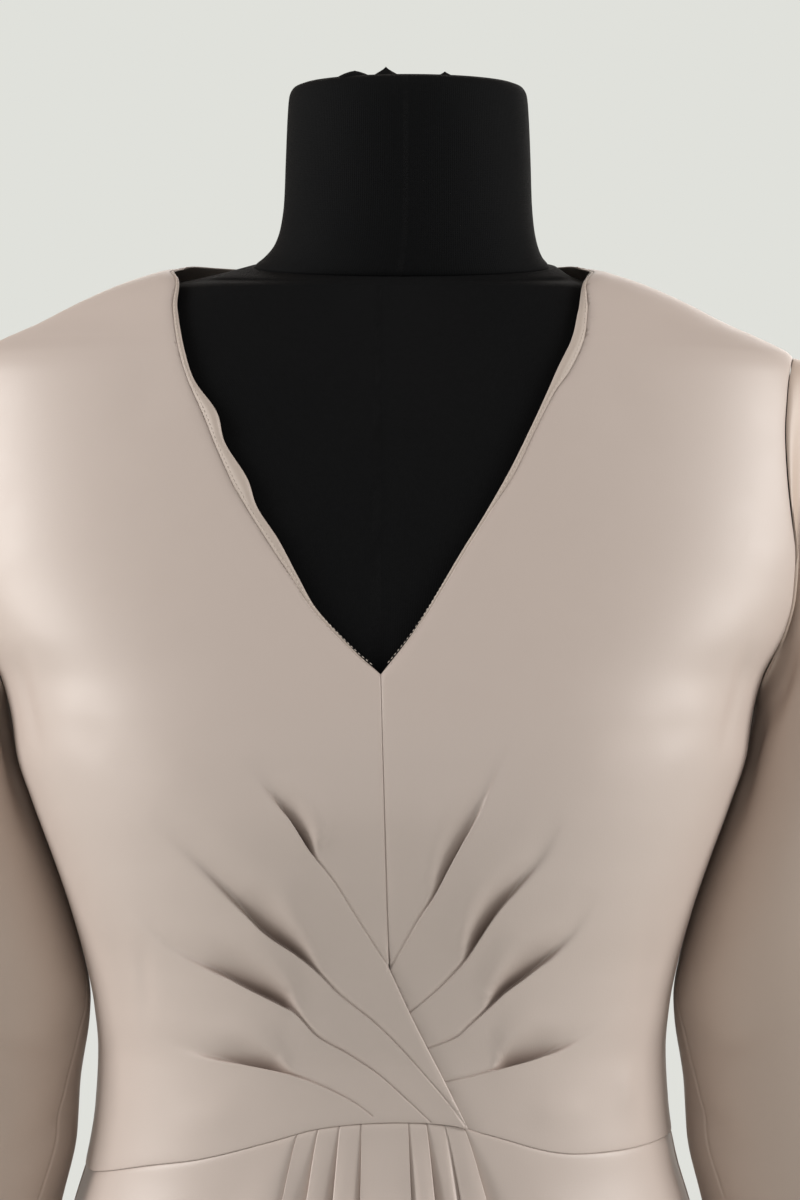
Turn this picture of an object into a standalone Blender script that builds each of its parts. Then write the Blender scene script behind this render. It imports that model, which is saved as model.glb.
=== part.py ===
"""A silk dress on a limbless dress form, on a pole and a round base.

Metres, +Z up, the floor at z = 0, the front of the dress towards -Y.
"Right" and "left" are the wearer's own: the right side lies at -X.

The worn cloth follows one surface, given by horizontal sections.  A panel is
an outline on that surface, in two flat coordinates: the girth g, measured
round the section from the centre front or the centre back, and the height z.
"""
import math

import bmesh
import bpy
import numpy as np
from mathutils import Matrix, Vector
from mathutils.geometry import delaunay_2d_cdt

# ---------------------------------------------------------------- sizes (m)
WALL = 0.0012           # thickness of the silk with its seam allowances
FACING_WALL = 0.0010
SEAM_GAP = 0.0008       # between two cloth edges
WAIST_GAP = 0.0010      # between bodice and gathered skirt
LAYER_GAP = 0.0009      # between cloth layers that lie on each other
HEM_Z = 0.470           # knee length
V_TIP_Z = 1.2466
SHOULDER_TIP_Z = 1.3985
NECK_POINT_Z = 1.4440
BACK_NECK_RISE = 0.0030
UNDERARM_Z = 1.2360
ARMHOLE_FRONT = 0.053   # how far the armhole cuts into the front, at its middle
ARMHOLE_BACK = 0.046
FACING_WIDTH = 0.022
BACK_FACING_WIDTH = 0.024
FACING_SHARES = (0.0, 0.42, 1.0)   # rows of points across a facing
CELL = 0.0205           # size of the fronts' facets
BACK_CELL = 0.0260      # size of the backs' facets
FINE_CELL = 0.0140      # spacing along tucks and edges
EDGE_CELL = 0.0090      # spacing along the neckline
YOKE_LEVELS = (1.393, 1.405, 1.415, 1.424, 1.432, 1.4385)   # finer rows
ZIP_TOP_Z = 1.4340
ZIP_END_Z = 0.930
ZIP_TAPE_WIDTH = 0.022
ZIP_SPLIT = 0.0004      # half of the gap between the two backs
POLE_RADIUS = 0.0125
BASE_RADIUS = 0.190
BASE_THICKNESS = 0.008
FORM_BOTTOM_Z = 0.800
NECK_TOP_Z = 1.532
SEAT_GAP = 0.0003       # between solids that touch

# Horizontal sections of the worn dress, outside of the cloth.
# z, half-width, depth in front, depth behind, squareness in front, behind
SECTIONS = np.array([
    (0.450, 0.2080, 0.1780, 0.1800, 2.05, 2.05),
    (0.600, 0.2000, 0.1700, 0.1740, 2.05, 2.05),
    (0.720, 0.1925, 0.1600, 0.1660, 2.05, 2.10),
    (0.800, 0.1860, 0.1510, 0.1580, 2.10, 2.10),
    (0.860, 0.1790, 0.1430, 0.1500, 2.10, 2.15),
    (0.900, 0.1725, 0.1370, 0.1420, 2.15, 2.15),
    (0.950, 0.1605, 0.1280, 0.1270, 2.20, 2.20),
    (0.986, 0.1510, 0.1195, 0.1130, 2.25, 2.20),
    (1.010, 0.1440, 0.1145, 0.1030, 2.30, 2.20),
    (1.036, 0.1398, 0.1125, 0.0970, 2.35, 2.20),
    (1.062, 0.1385, 0.1135, 0.0955, 2.35, 2.20),
    (1.085, 0.1405, 0.1185, 0.0965, 2.40, 2.20),
    (1.104, 0.1443, 0.1245, 0.0985, 2.40, 2.20),
    (1.131, 0.1515, 0.1345, 0.1025, 2.50, 2.20),
    (1.154, 0.1592, 0.1410, 0.1060, 2.55, 2.20),
    (1.182, 0.1695, 0.1445, 0.1100, 2.60, 2.20),
    (1.206, 0.1775, 0.1430, 0.1130, 2.60, 2.20),
    (1.224, 0.1800, 0.1400, 0.1150, 2.60, 2.25),
    (1.242, 0.1850, 0.1345, 0.1165, 2.55, 2.30),
    (1.264, 0.1985, 0.1260, 0.1170, 2.50, 2.35),
    (1.285, 0.2080, 0.1175, 0.1165, 2.40, 2.40),
    (1.309, 0.2130, 0.1080, 0.1150, 2.35, 2.35),
    (1.340, 0.2135, 0.0965, 0.1110, 2.25, 2.25),
    (1.370, 0.2120, 0.0850, 0.1050, 2.15, 2.20),
    (1.390, 0.2070, 0.0765, 0.0995, 2.10, 2.10),
    (1.400, 0.2000, 0.0715, 0.0960, 2.05, 2.05),
    (1.407, 0.1870, 0.0680, 0.0935, 2.00, 2.00),
    (1.415, 0.1690, 0.0640, 0.0905, 2.00, 2.00),
    (1.424, 0.1515, 0.0595, 0.0870, 2.00, 2.00),
    (1.429, 0.1410, 0.0570, 0.0845, 2.00, 2.00),
    (1.435, 0.1265, 0.0540, 0.0815, 2.00, 2.00),
    (1.440, 0.1110, 0.0515, 0.0780, 2.00, 2.00),
    (1.444, 0.0965, 0.0490, 0.0745, 2.00, 2.00),
    (1.449, 0.0860, 0.0480, 0.0700, 2.00, 2.00),
])

# Neckline of each front, millimetres: across, height, and the roll, which is
# how far the front's own edge lies back from the edge of the facing.
NECKLINE_RIGHT = (
    (-96.5, 1444.0, 1.0), (-98.5, 1436.0, 1.5), (-98.0, 1421.0, 2.0),
    (-92.0, 1394.0, 3.0), (-79.2, 1371.0, 6.0), (-63.6, 1341.2, 8.0),
    (-57.3, 1324.2, 6.5), (-44.0, 1299.0, 4.0), (-29.9, 1276.8, 1.5),
    (-11.8, 1257.1, 0.8), (-0.2, 1246.6, 0.5))
NECKLINE_LEFT = (
    (96.5, 1444.0, 1.0), (98.0, 1435.1, 1.5), (94.3, 1419.0, 4.5),
    (91.0, 1406.0, 5.5), (83.5, 1391.1, 6.0), (79.0, 1380.0, 3.0),
    (60.2, 1341.2, 2.0), (37.1, 1302.7, 1.2), (15.7, 1267.1, 0.8),
    (0.2, 1246.6, 0.5))

# Slanting edge of the right front where it laps over the left: across, height.
LAP = ((3.8, 1111.1), (13.4, 1089.7), (21.7, 1072.6), (29.6, 1057.0), (40.4, 1035.0))

# Waist seam in front: across, height.
WAIST = (
    (-138.5, 1006.0), (-111.6, 1013.7), (-83.5, 1019.5), (-49.6, 1029.3),
    (-29.1, 1035.2), (0.0, 1038.1), (30.6, 1037.0), (50.1, 1032.0),
    (82.9, 1022.3), (112.9, 1020.9), (138.5, 1022.5))
WAIST_BACK_Z = 1.0120

# Tucks, from the stitched end through the mouth to where the fold dies out:
# across, height, depth of the fold in millimetres.
TUCKS_RIGHT = {
    "first": ((-9.5, 1132.4, 1.0), (-20.8, 1151.0, 1.2), (-31.7, 1165.3, 3.5),
              (-44.0, 1184.4, 2.0), (-53.6, 1196.2, 0.0)),
    "second": ((14.0, 1068.0, 1.0), (-3.6, 1085.9, 1.2), (-18.8, 1098.3, 1.6),
               (-30.5, 1110.6, 4.0), (-53.5, 1127.8, 3.5), (-77.3, 1152.7, 2.0),
               (-106.0, 1176.7, 0.0)),
    "third": ((10.6, 1050.2, 1.0), (-8.0, 1065.8, 1.2), (-26.0, 1078.0, 1.6),
              (-38.7, 1089.5, 4.0), (-68.3, 1104.6, 3.5), (-100.6, 1120.5, 1.5),
              (-117.5, 1140.2, 0.0)),
    "fourth": ((-12.0, 1047.4, 1.0), (-30.0, 1056.3, 1.2), (-43.5, 1061.0, 3.2),
               (-81.1, 1066.7, 2.5), (-108.2, 1072.8, 0.0)),
}
TUCKS_LEFT = {
    "first": ((12.0, 1124.0, 1.0), (19.5, 1138.0, 1.6), (25.0, 1147.0, 3.5),
              (38.8, 1173.1, 2.5), (51.2, 1201.2, 1.2), (62.2, 1224.8, 0.0)),
    "second": ((22.5, 1098.0, 1.0), (33.5, 1109.6, 1.6), (40.6, 1118.0, 4.0),
               (54.5, 1140.5, 3.0), (75.1, 1163.5, 1.5), (82.8, 1180.9, 0.0)),
    "third": ((31.5, 1077.0, 1.0), (41.5, 1084.8, 1.6), (50.0, 1092.5, 4.0),
              (71.6, 1109.2, 3.0), (97.3, 1138.9, 0.0)),
    "fourth": ((40.7, 1059.2, 1.0), (50.0, 1061.8, 1.6), (58.5, 1064.2, 3.2),
               (88.1, 1073.0, 2.0), (110.6, 1091.5, 0.0)),
}
TUCK_NEAR = 0.0045      # width of the raised lip
TUCK_FAR = 0.0150       # width of the hollow behind it
TUCK_ROWS = (-0.0110, -0.0012, 0.0012, 0.0090)

# Folds of the front skirt: across at the waist in millimetres, share of the
# half-girth at the hem, depth at the waist and at the hem in millimetres.
FRONT_FOLDS = (
    (-138.5, -1.00, 0.0, 0.0), (-95.0, -0.82, 0.0, 7.0), (-62.0, -0.63, 0.0, -8.0),
    (-43.0, -0.50, 1.2, 11.0), (-33.0, -0.40, -1.6, -11.0), (-27.0, -0.31, 1.2, 12.0),
    (-20.5, -0.23, -1.6, -10.0), (-15.5, -0.15, 1.2, 11.0), (-11.0, -0.08, -1.6, -9.0),
    (0.0, 0.00, 1.0, 11.0), (11.8, 0.10, -1.6, -11.0), (17.0, 0.18, 1.2, 12.0),
    (22.2, 0.26, -1.8, -11.0), (26.2, 0.34, 1.0, 10.0), (30.2, 0.42, -1.6, -10.0),
    (35.5, 0.52, 1.4, 12.0), (42.0, 0.63, -1.4, -10.0), (66.0, 0.76, 0.0, 8.0),
    (98.0, 0.89, 0.0, -5.0), (138.5, 1.00, 0.0, 0.0))
# Folds of each back skirt: share of the quarter girth from the centre back,
# depth at the hem in millimetres.
BACK_FOLDS = ((0.0, 0.0), (0.16, 9.0), (0.33, -8.0), (0.50, 10.0), (0.67, -8.0),
              (0.84, 7.0), (1.0, 0.0))
SKIRT_ROWS = (0.0, 0.04, 0.11, 0.22, 0.37, 0.56, 0.78, 1.0)

# Sleeve rings, millimetres: outer line across and height, inner line across
# and height, half-depth, and the ring's middle in depth.
SLEEVE_RINGS = (
    (203.0, 1398.5, 180.5, 1236.0, 45.0, 0.0),
    (214.0, 1394.0, 181.2, 1228.0, 51.0, 0.0),
    (236.0, 1374.0, 180.0, 1210.0, 57.0, -1.0),
    (252.0, 1342.0, 172.5, 1180.0, 60.0, -2.0),
    (262.0, 1300.0, 163.5, 1153.0, 59.0, -3.0),
    (268.0, 1250.0, 154.5, 1125.0, 57.0, -4.0),
    (272.0, 1190.0, 148.8, 1095.0, 54.0, -5.0),
    (275.5, 1122.0, 147.2, 1060.0, 51.0, -6.0),
    (279.0, 1050.0, 148.6, 1022.0, 48.0, -8.0),
    (284.0, 985.0, 156.6, 985.0, 45.5, -9.0),
    (290.0, 930.0, 168.8, 930.0, 43.0, -10.0),
    (293.0, 870.0, 181.5, 870.0, 40.5, -11.0),
    (295.0, 805.0, 190.0, 805.0, 38.0, -12.0))
SLEEVE_SIDES = 18

# The form's padded torso: how far it lies inside the cloth, millimetres:
# height, at the side, in front, behind.
FORM_EASE = np.array([
    (0.800, 12.0, 14.0, 22.0), (0.900, 9.0, 12.0, 12.0), (1.036, 6.0, 10.0, 6.5),
    (1.100, 6.0, 13.0, 6.5), (1.182, 6.0, 7.0, 5.5), (1.242, 8.0, 4.4, 4.6),
    (1.309, 15.0, 3.3, 3.6), (1.370, 13.0, 3.2, 3.6), (1.395, 7.5, 3.1, 3.9),
    (1.407, 1.2, 3.0, 4.2), (1.449, 0.6, 2.8, 4.4)])
FORM_DROP = 0.0049      # the form's shoulders lie this far under the cloth's
FORM_LEVELS = (0.800, 0.850, 0.900, 0.950, 1.000, 1.040, 1.075, 1.110, 1.145, 1.180,
               1.210, 1.240, 1.270, 1.300, 1.335, 1.365, 1.385, 1.396, 1.404, 1.412,
               1.420, 1.4265, 1.4310)
FORM_SIDES = 40
# The form's shoulder top and its neck block: height at the middle, lean of
# the ring (rise per metre of depth), centre across, half-width, front, back.
SHOULDER_TOP = (1.4378, 0.090, 0.003, 0.0915, 0.0475, 0.0600)
NECK_SEAM = (1.4430, 0.180, 0.0100, 0.0755, 0.0455, 0.0550)
NECK_RINGS = (
    (1.4430, 0.180, 0.0102, 0.0748, 0.0452, 0.0545),
    (1.4490, 0.160, 0.0115, 0.0705, 0.0462, 0.0550),
    (1.4575, 0.130, 0.0120, 0.0650, 0.0475, 0.0545),
    (1.4720, 0.080, 0.0125, 0.0625, 0.0492, 0.0540),
    (1.4950, 0.040, 0.0128, 0.0605, 0.0505, 0.0540),
    (1.5180, 0.000, 0.0128, 0.0590, 0.0512, 0.0530),
    (1.5265, 0.000, 0.0128, 0.0582, 0.0505, 0.0522),
    (1.5305, 0.000, 0.0128, 0.0560, 0.0484, 0.0500),
    (NECK_TOP_Z, 0.000, 0.0128, 0.0525, 0.0450, 0.0466))

# ------------------------------------------------------------ smooth tables


def through(xs, ys, x):
    """A smooth curve through the rows (xs, ys) that doesn't overshoot."""
    x = np.clip(x, xs[0], xs[-1])
    step = np.diff(xs)
    slope = np.diff(ys) / step
    tangent = np.zeros(len(xs))
    tangent[0], tangent[-1] = slope[0], slope[-1]
    for i in range(1, len(xs) - 1):
        if slope[i - 1] * slope[i] > 0:
            before, after = 2 * step[i] + step[i - 1], step[i] + 2 * step[i - 1]
            tangent[i] = (before + after) / (before / slope[i - 1] + after / slope[i])
    k = np.clip(np.searchsorted(xs, x, side="right") - 1, 0, len(xs) - 2)
    t = (x - xs[k]) / step[k]
    return ((1 + 2 * t) * (1 - t) ** 2 * ys[k] + t * (1 - t) ** 2 * step[k] * tangent[k]
            + t * t * (3 - 2 * t) * ys[k + 1] + t * t * (t - 1) * step[k] * tangent[k + 1])


def section(z):
    """Half-width, front, back and both squarenesses of the dress at z."""
    return [through(SECTIONS[:, 0], SECTIONS[:, i], z) for i in range(1, 6)]


def radius(angle, z):
    """Distance from the upright axis; angle 0 is the centre front, 90 the left."""
    wide, front, back, square_front, square_back = section(z)
    s, c = np.abs(np.sin(angle)), np.cos(angle)
    depth = np.where(c > 0, front, back)
    square = np.where(c > 0, square_front, square_back)
    return ((s / wide) ** square + (np.abs(c) / depth) ** square) ** (-1 / square)


# Girth tables: arc length from the centre front (or back) to each angle.
ANGLES = np.linspace(0.0, math.pi / 2, 161)
LEVELS = np.linspace(SECTIONS[0, 0], SECTIONS[-1, 0], 401)


def arcs(behind):
    """For each level, the girth at ANGLES, counted from the front or back."""
    turn = math.pi - ANGLES if behind else ANGLES
    grid_angle, grid_z = np.meshgrid(turn, LEVELS)
    r = radius(grid_angle, grid_z)
    x, y = r * np.sin(grid_angle), r * np.cos(grid_angle)
    run = np.hypot(np.diff(x, axis=1), np.diff(y, axis=1))
    return np.hstack([np.zeros((len(LEVELS), 1)), np.cumsum(run, axis=1)])


GIRTH = {False: arcs(False), True: arcs(True)}


def girth_row(z, behind):
    """The girth at ANGLES for one height."""
    place = np.clip((z - LEVELS[0]) / (LEVELS[1] - LEVELS[0]), 0, len(LEVELS) - 1.001)
    low = int(place)
    share = place - low
    return GIRTH[behind][low] * (1 - share) + GIRTH[behind][low + 1] * share


def quarter(z, behind=False):
    """The girth from the centre front (or back) to the side."""
    return girth_row(z, behind)[-1]


def angle_at(g, z, behind):
    """The angle at girth g, height z."""
    turn = math.copysign(np.interp(abs(g), girth_row(z, behind), ANGLES), g)
    return math.pi - turn if behind else turn


def girth_at(x, z):
    """The girth, from the centre front, of the front point at x, z."""
    r = radius(ANGLES, np.full_like(ANGLES, z))
    turn = np.interp(abs(x), r * np.sin(ANGLES), ANGLES)
    return math.copysign(np.interp(turn, ANGLES, girth_row(z, False)), x)


def surface(g, z, behind=False):
    """A point of the worn surface from its girth and height."""
    angle = angle_at(g, z, behind)
    r = float(radius(angle, z))
    return np.array([r * math.sin(angle), -r * math.cos(angle), z])


def normal(g, z, behind=False):
    """The surface's outward direction."""
    d = 0.0006
    run = surface(g + d, z, behind) - surface(g - d, z, behind)
    if behind:
        run = -run
    rise = surface(g, min(z + d, LEVELS[-1]), behind) - surface(g, z - d, behind)
    out = np.cross(run, rise)
    return out / np.linalg.norm(out)


# The flat plan stretches the heights near the shoulder, where the surface
# lies down, so that its facets stay even.
PLAN_Z = np.linspace(0.44, 1.46, 511)
PLAN_H = np.concatenate([[0.44], 0.44 + np.cumsum(
    (1 + 1.7 * np.clip((PLAN_Z[1:] - 1.375) / 0.035, 0, 1)) * np.diff(PLAN_Z))])


def plan(g, z):
    return np.array([g, np.interp(z, PLAN_Z, PLAN_H)])


def unplan(p):
    return p[0], float(np.interp(p[1], PLAN_H, PLAN_Z))


# ------------------------------------------------------------- plane curves


def smooth_line(points, step):
    """Even points along a smooth curve through the given ones (any columns)."""
    points = np.array(points, float)
    run = np.concatenate([[0], np.cumsum(np.hypot(*np.diff(points[:, :2], axis=0).T))])
    fine = np.linspace(0, run[-1], 12 * len(points))
    dense = np.array([catmull(run, points, s) for s in fine])
    along = np.concatenate([[0], np.cumsum(np.hypot(*np.diff(dense[:, :2], axis=0).T))])
    count = max(2, int(round(along[-1] / step)) + 1)
    stops = np.linspace(0, along[-1], count)
    return np.array([[np.interp(s, along, dense[:, c]) for c in range(dense.shape[1])]
                     for s in stops])


def catmull(run, points, s):
    """Value at run s of the curve through points, with chordal tangents."""
    k = int(np.clip(np.searchsorted(run, s, side="right") - 1, 0, len(run) - 2))
    before, after = max(k - 1, 0), min(k + 2, len(run) - 1)
    step = run[k + 1] - run[k]
    t = (s - run[k]) / step
    start = (points[k + 1] - points[before]) / (run[k + 1] - run[before]) * step
    end = (points[after] - points[k]) / (run[after] - run[k]) * step
    return ((1 + 2 * t) * (1 - t) ** 2 * points[k] + t * (1 - t) ** 2 * start
            + t * t * (3 - 2 * t) * points[k + 1] + t * t * (t - 1) * end)


def left_hand(line):
    """Unit directions to the left of a plane line, one for each of its points."""
    run = np.gradient(line[:, :2], axis=0)
    side = np.stack([-run[:, 1], run[:, 0]], axis=1)
    return side / np.linalg.norm(side, axis=1)[:, None]


def inset(loop, gap):
    """A counter-clockwise loop moved inwards by gap at each of its sides."""
    loop = np.array(loop)
    ahead = np.roll(loop, -1, axis=0) - loop
    ahead /= np.linalg.norm(ahead, axis=1)[:, None]
    inward = np.stack([-ahead[:, 1], ahead[:, 0]], axis=1)
    both = inward + np.roll(inward, 1, axis=0)
    both /= np.maximum(np.linalg.norm(both, axis=1), 1e-9)[:, None]
    share = np.maximum((both * inward).sum(axis=1), 0.5)
    return loop + both * (gap / share)[:, None]


def inside(point, loop):
    """True where the point lies inside the loop."""
    x, y = point
    x0, y0 = loop[:, 0], loop[:, 1]
    x1, y1 = np.roll(x0, -1), np.roll(y0, -1)
    crosses = (y0 > y) != (y1 > y)
    at = x0 + (y - y0) / np.where(crosses, y1 - y0, 1) * (x1 - x0)
    return bool(np.count_nonzero(crosses & (x < at)) % 2)


def distance(point, line, closed=False):
    """Shortest distance from the point to the line."""
    a = line
    b = np.roll(line, -1, axis=0) if closed else line[1:]
    a = a if closed else line[:-1]
    run = b - a
    t = np.clip(((point - a) * run).sum(axis=1) / np.maximum((run ** 2).sum(axis=1), 1e-12), 0, 1)
    return float(np.linalg.norm(point - a - run * t[:, None], axis=1).min())


# ------------------------------------------------------------ seams in plan


def waist_z(g):
    """Height of the waist seam at girth g from the centre front."""
    return float(np.interp(g, WAIST_G, WAIST_Z))


WAIST_LINE = smooth_line([(x / 1000, z / 1000) for x, z in WAIST], 0.006)
WAIST_G = np.array([girth_at(x, z) for x, z in WAIST_LINE])
WAIST_Z = WAIST_LINE[:, 1]


def waist_back_z(g, side):
    """Height of the waist seam behind: from the side's height to the middle's."""
    at_side = WAIST_Z[0] if side < 0 else WAIST_Z[-1]
    share = min(abs(g) / quarter(at_side, True), 1.0)
    ease = share * share * (3 - 2 * share)
    return WAIST_BACK_Z + (at_side - WAIST_BACK_Z) * ease


def armhole(turn):
    """Depth into the panel and height of the armhole; turn 0 is the top."""
    middle = (SHOULDER_TIP_Z + UNDERARM_Z) / 2
    reach = (SHOULDER_TIP_Z - UNDERARM_Z) / 2
    cut = ARMHOLE_FRONT if math.sin(turn) > 0 else ARMHOLE_BACK
    return cut * abs(math.sin(turn)) ** 0.85, middle + reach * math.cos(turn)


def armhole_line(behind, side, steps=14):
    """The armhole from the underarm to the shoulder tip, in girth and height."""
    line = []
    for k in range(steps + 1):
        turn = math.pi * (1 - k / steps) * (-1 if behind else 1)
        cut, z = armhole(turn)
        g = quarter(z, behind) - (cut if 0 < k < steps else 0.0)
        line.append((side * g, z))
    return line


def neckline(table):
    """Facing edge and front edge in girth, height, as two matching lines."""
    rows = [(girth_at(x / 1000, z / 1000), z / 1000, roll / 1000) for x, z, roll in table]
    side = math.copysign(1, rows[0][0])
    rows[0] = (side * quarter(NECK_POINT_Z), NECK_POINT_Z, rows[0][2])
    line = smooth_line(rows, EDGE_CELL)
    back = left_hand(line) * side
    edge = line[:, :2] + back * line[:, 2:3]
    edge[0] = shoulder_point(line[0, 2], False, side)
    edge[-1] = (0.0, line[-1, 1] - line[-1, 2])
    return line[:, :2], edge


def shoulder_point(along, behind, side):
    """A point of the shoulder seam, by its distance from the neck point."""
    share = along / SHOULDER_RUN
    z = NECK_POINT_Z + (SHOULDER_TIP_Z - NECK_POINT_Z) * share
    return side * quarter(z, behind), z


SHOULDER_RUN = quarter(SHOULDER_TIP_Z) - quarter(NECK_POINT_Z)


def seam_up(low, high, behind, side, step=CELL):
    """The side seam or shoulder seam between two heights."""
    count = max(1, int(round(abs(high - low) / step)))
    return [(side * quarter(z, behind), z) for z in np.linspace(low, high, count + 1)]


# ------------------------------------------------------------------- solids


def finish(name, vertices, faces, material):
    """One closed body from points and faces, its faces turned outwards."""
    mesh = bpy.data.meshes.new(name)
    mesh.from_pydata([tuple(map(float, v)) for v in vertices], [], faces)
    bm = bmesh.new()
    bm.from_mesh(mesh)
    bmesh.ops.triangulate(bm, faces=[f for f in bm.faces if len(f.verts) > 3])
    bmesh.ops.recalc_face_normals(bm, faces=bm.faces)
    bm.to_mesh(mesh)
    bm.free()
    mesh.validate()
    mesh.shade_smooth()
    mesh.set_sharp_from_angle(angle=math.radians(40))
    mesh.materials.append(material)
    solid = bpy.data.objects.new(name, mesh)
    bpy.context.collection.objects.link(solid)
    return solid


def point_normals(points, triangles):
    """Outward directions at the points, weighted by the triangles' areas."""
    a, b, c = (points[triangles[:, i]] for i in range(3))
    face = np.cross(b - a, c - a)
    total = np.zeros_like(points)
    for i in range(3):
        np.add.at(total, triangles[:, i], face)
    return total / np.linalg.norm(total, axis=1)[:, None]


def wall(name, points, triangles, thickness, material, depth=0.0, about=(0.0, 0.0)):
    """A cloth wall: the points are its outside, moved in by depth first.

    The outside is the side that looks away from the upright line at about.
    """
    points, triangles = np.array(points), np.array(triangles)
    out = point_normals(points, triangles)
    if ((points[:, :2] - about) * out[:, :2]).sum() < 0:
        triangles, out = triangles[:, ::-1], -out
    outer = points - out * depth
    inner = points - out * (depth + thickness)
    count = len(points)
    faces = [tuple(t) for t in triangles] + [tuple(t[::-1] + count) for t in triangles]
    once = {}
    for t in triangles:
        for a, b in ((t[0], t[1]), (t[1], t[2]), (t[2], t[0])):
            if (b, a) in once:
                del once[(b, a)]
            else:
                once[(a, b)] = True
    for a, b in once:
        faces += [(b, a, a + count), (b, a + count, b + count)]
    return finish(name, np.vstack([outer, inner]), [tuple(map(int, f)) for f in faces], material)


def grid_triangles(rows, columns, wrap=False):
    """Triangles of a grid of points, rows by columns."""
    found = []
    for r in range(rows - 1):
        for c in range(columns if wrap else columns - 1):
            right = (c + 1) % columns
            a, b = r * columns + c, r * columns + right
            d, e = a + columns, b + columns
            found += [(a, b, e), (a, e, d)] if (r + c) % 2 else [(a, b, d), (b, e, d)]
    return np.array(found)


def fill(loop, features, cell):
    """Triangles over a panel: its edge, its feature rows and even cells."""
    flat = inset([plan(g, z) for g, z in loop], SEAM_GAP / 2)
    places = list(flat)
    for row in features:
        for g, z in row:
            p = plan(g, z)
            clear = min(distance(p, flat, closed=True), 1.0)
            if inside(p, flat) and clear > 0.0035:
                places.append(p)
    taken = np.array(places)
    low, high = flat.min(axis=0), flat.max(axis=0)
    tall = cell * math.sqrt(3) / 2
    for j in range(int((high[1] - low[1]) / tall) + 1):
        for i in range(int((high[0] - low[0]) / cell) + 1):
            p = low + np.array([(i + 0.5 * (j % 2)) * cell, (j + 0.5) * tall])
            near = np.linalg.norm(taken - p, axis=1).min()
            if near > 0.62 * cell and inside(p, flat) and distance(p, flat, True) > 0.5 * cell:
                places.append(p)
    made = delaunay_2d_cdt([Vector(p) for p in places], [], [list(range(len(flat)))],
                           1, 1e-6)
    spots = [unplan(np.array(v)) for v in made[0]]
    return spots, np.array([f for f in made[2]])


# -------------------------------------------------------------------- tucks


def tuck_lines(tucks):
    """Each tuck as even points: girth, height, depth of its fold."""
    lines = []
    for rows in tucks.values():
        given = [(girth_at(x / 1000, z / 1000), z / 1000, depth / 1000)
                 for x, z, depth in rows]
        lines.append(smooth_line(given, FINE_CELL))
    return lines


def tuck_relief(g, z, lines):
    """How far the tucks lift (or sink) the cloth at a point."""
    total = 0.0
    point = np.array([g, z])
    for line in lines:
        a, run = line[:-1, :2], np.diff(line[:, :2], axis=0)
        t = np.clip(((point - a) * run).sum(axis=1) / (run ** 2).sum(axis=1), 0, 1)
        away = point - a - run * t[:, None]
        gap = np.linalg.norm(away, axis=1)
        k = int(np.argmin(gap))
        depth = line[k, 2] + (line[k + 1, 2] - line[k, 2]) * t[k]
        side = run[k, 0] * away[k, 1] - run[k, 1] * away[k, 0]
        below = side * math.copysign(1, run[k, 0]) < 0
        if below:
            total += 0.45 * depth * math.exp(-gap[k] / TUCK_NEAR)
        else:
            total -= 0.55 * depth * math.exp(-gap[k] / TUCK_FAR)
    return total


def yoke_rows(side, behind):
    """Finer rows of points over the shoulder, where the surface bends most."""
    return [[(side * g, z) for g in np.arange(0.007, quarter(z, behind), FINE_CELL)]
            for z in YOKE_LEVELS]


def tuck_features(lines):
    """Rows of points along both sides of each tuck."""
    rows = []
    for line in lines:
        side = left_hand(line)
        for away in TUCK_ROWS:
            rows.append(line[:, :2] + side * away)
    return rows


# ------------------------------------------------------------------- panels


def front_panel(name, side, table, tucks, material):
    """One bodice front, up to the side, the armhole, the shoulder and the V."""
    lap = smooth_line([(girth_at(x / 1000, z / 1000), z / 1000) for x, z in LAP], FINE_CELL)
    end_g = lap[-1, 0]
    lap[-1, 1] = waist_z(end_g)
    centre = [(lap[0, 0] * (1 - t), lap[0, 1] + (V_TIP_Z - lap[0, 1]) * t)
              for t in np.linspace(0, 1, 13)]
    edge = neckline(table)[1][::-1]
    side_g = side * quarter(waist_z(side))
    bottom = [(g, waist_z(g)) for g in np.linspace(end_g, side_g, 19 if side < 0 else 11)]
    up = seam_up(bottom[-1][1], UNDERARM_Z, False, side)
    hole = armhole_line(False, side)
    top = [shoulder_point(s, False, side)
           for s in np.linspace(SHOULDER_RUN, table[0][2] / 1000, 10)]
    outline = (bottom[:-1] + up[:-1] + hole[:-1] + top[:-1]
               + [tuple(p) for p in edge[::-1]][:-1] + centre[::-1][:-1]
               + [tuple(p) for p in lap][:-1])
    # bottom side -> up -> armhole -> shoulder -> neck edge down -> centre -> lap
    loop = np.array(outline)
    if side < 0:
        loop = loop[::-1]
    lines = tuck_lines(tucks)
    spots, triangles = fill(loop, tuck_features(lines) + yoke_rows(side, False), CELL)
    points = []
    for g, z in spots:
        lift = tuck_relief(g, z, lines)
        points.append(surface(g, z) + normal(g, z) * lift)
    return wall(name, points, triangles, WALL, material)


def back_neck_z(share):
    """Height of the back neckline; share 0 is the centre back, 1 the side."""
    return NECK_POINT_Z + BACK_NECK_RISE * (1 - share * share)


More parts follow.
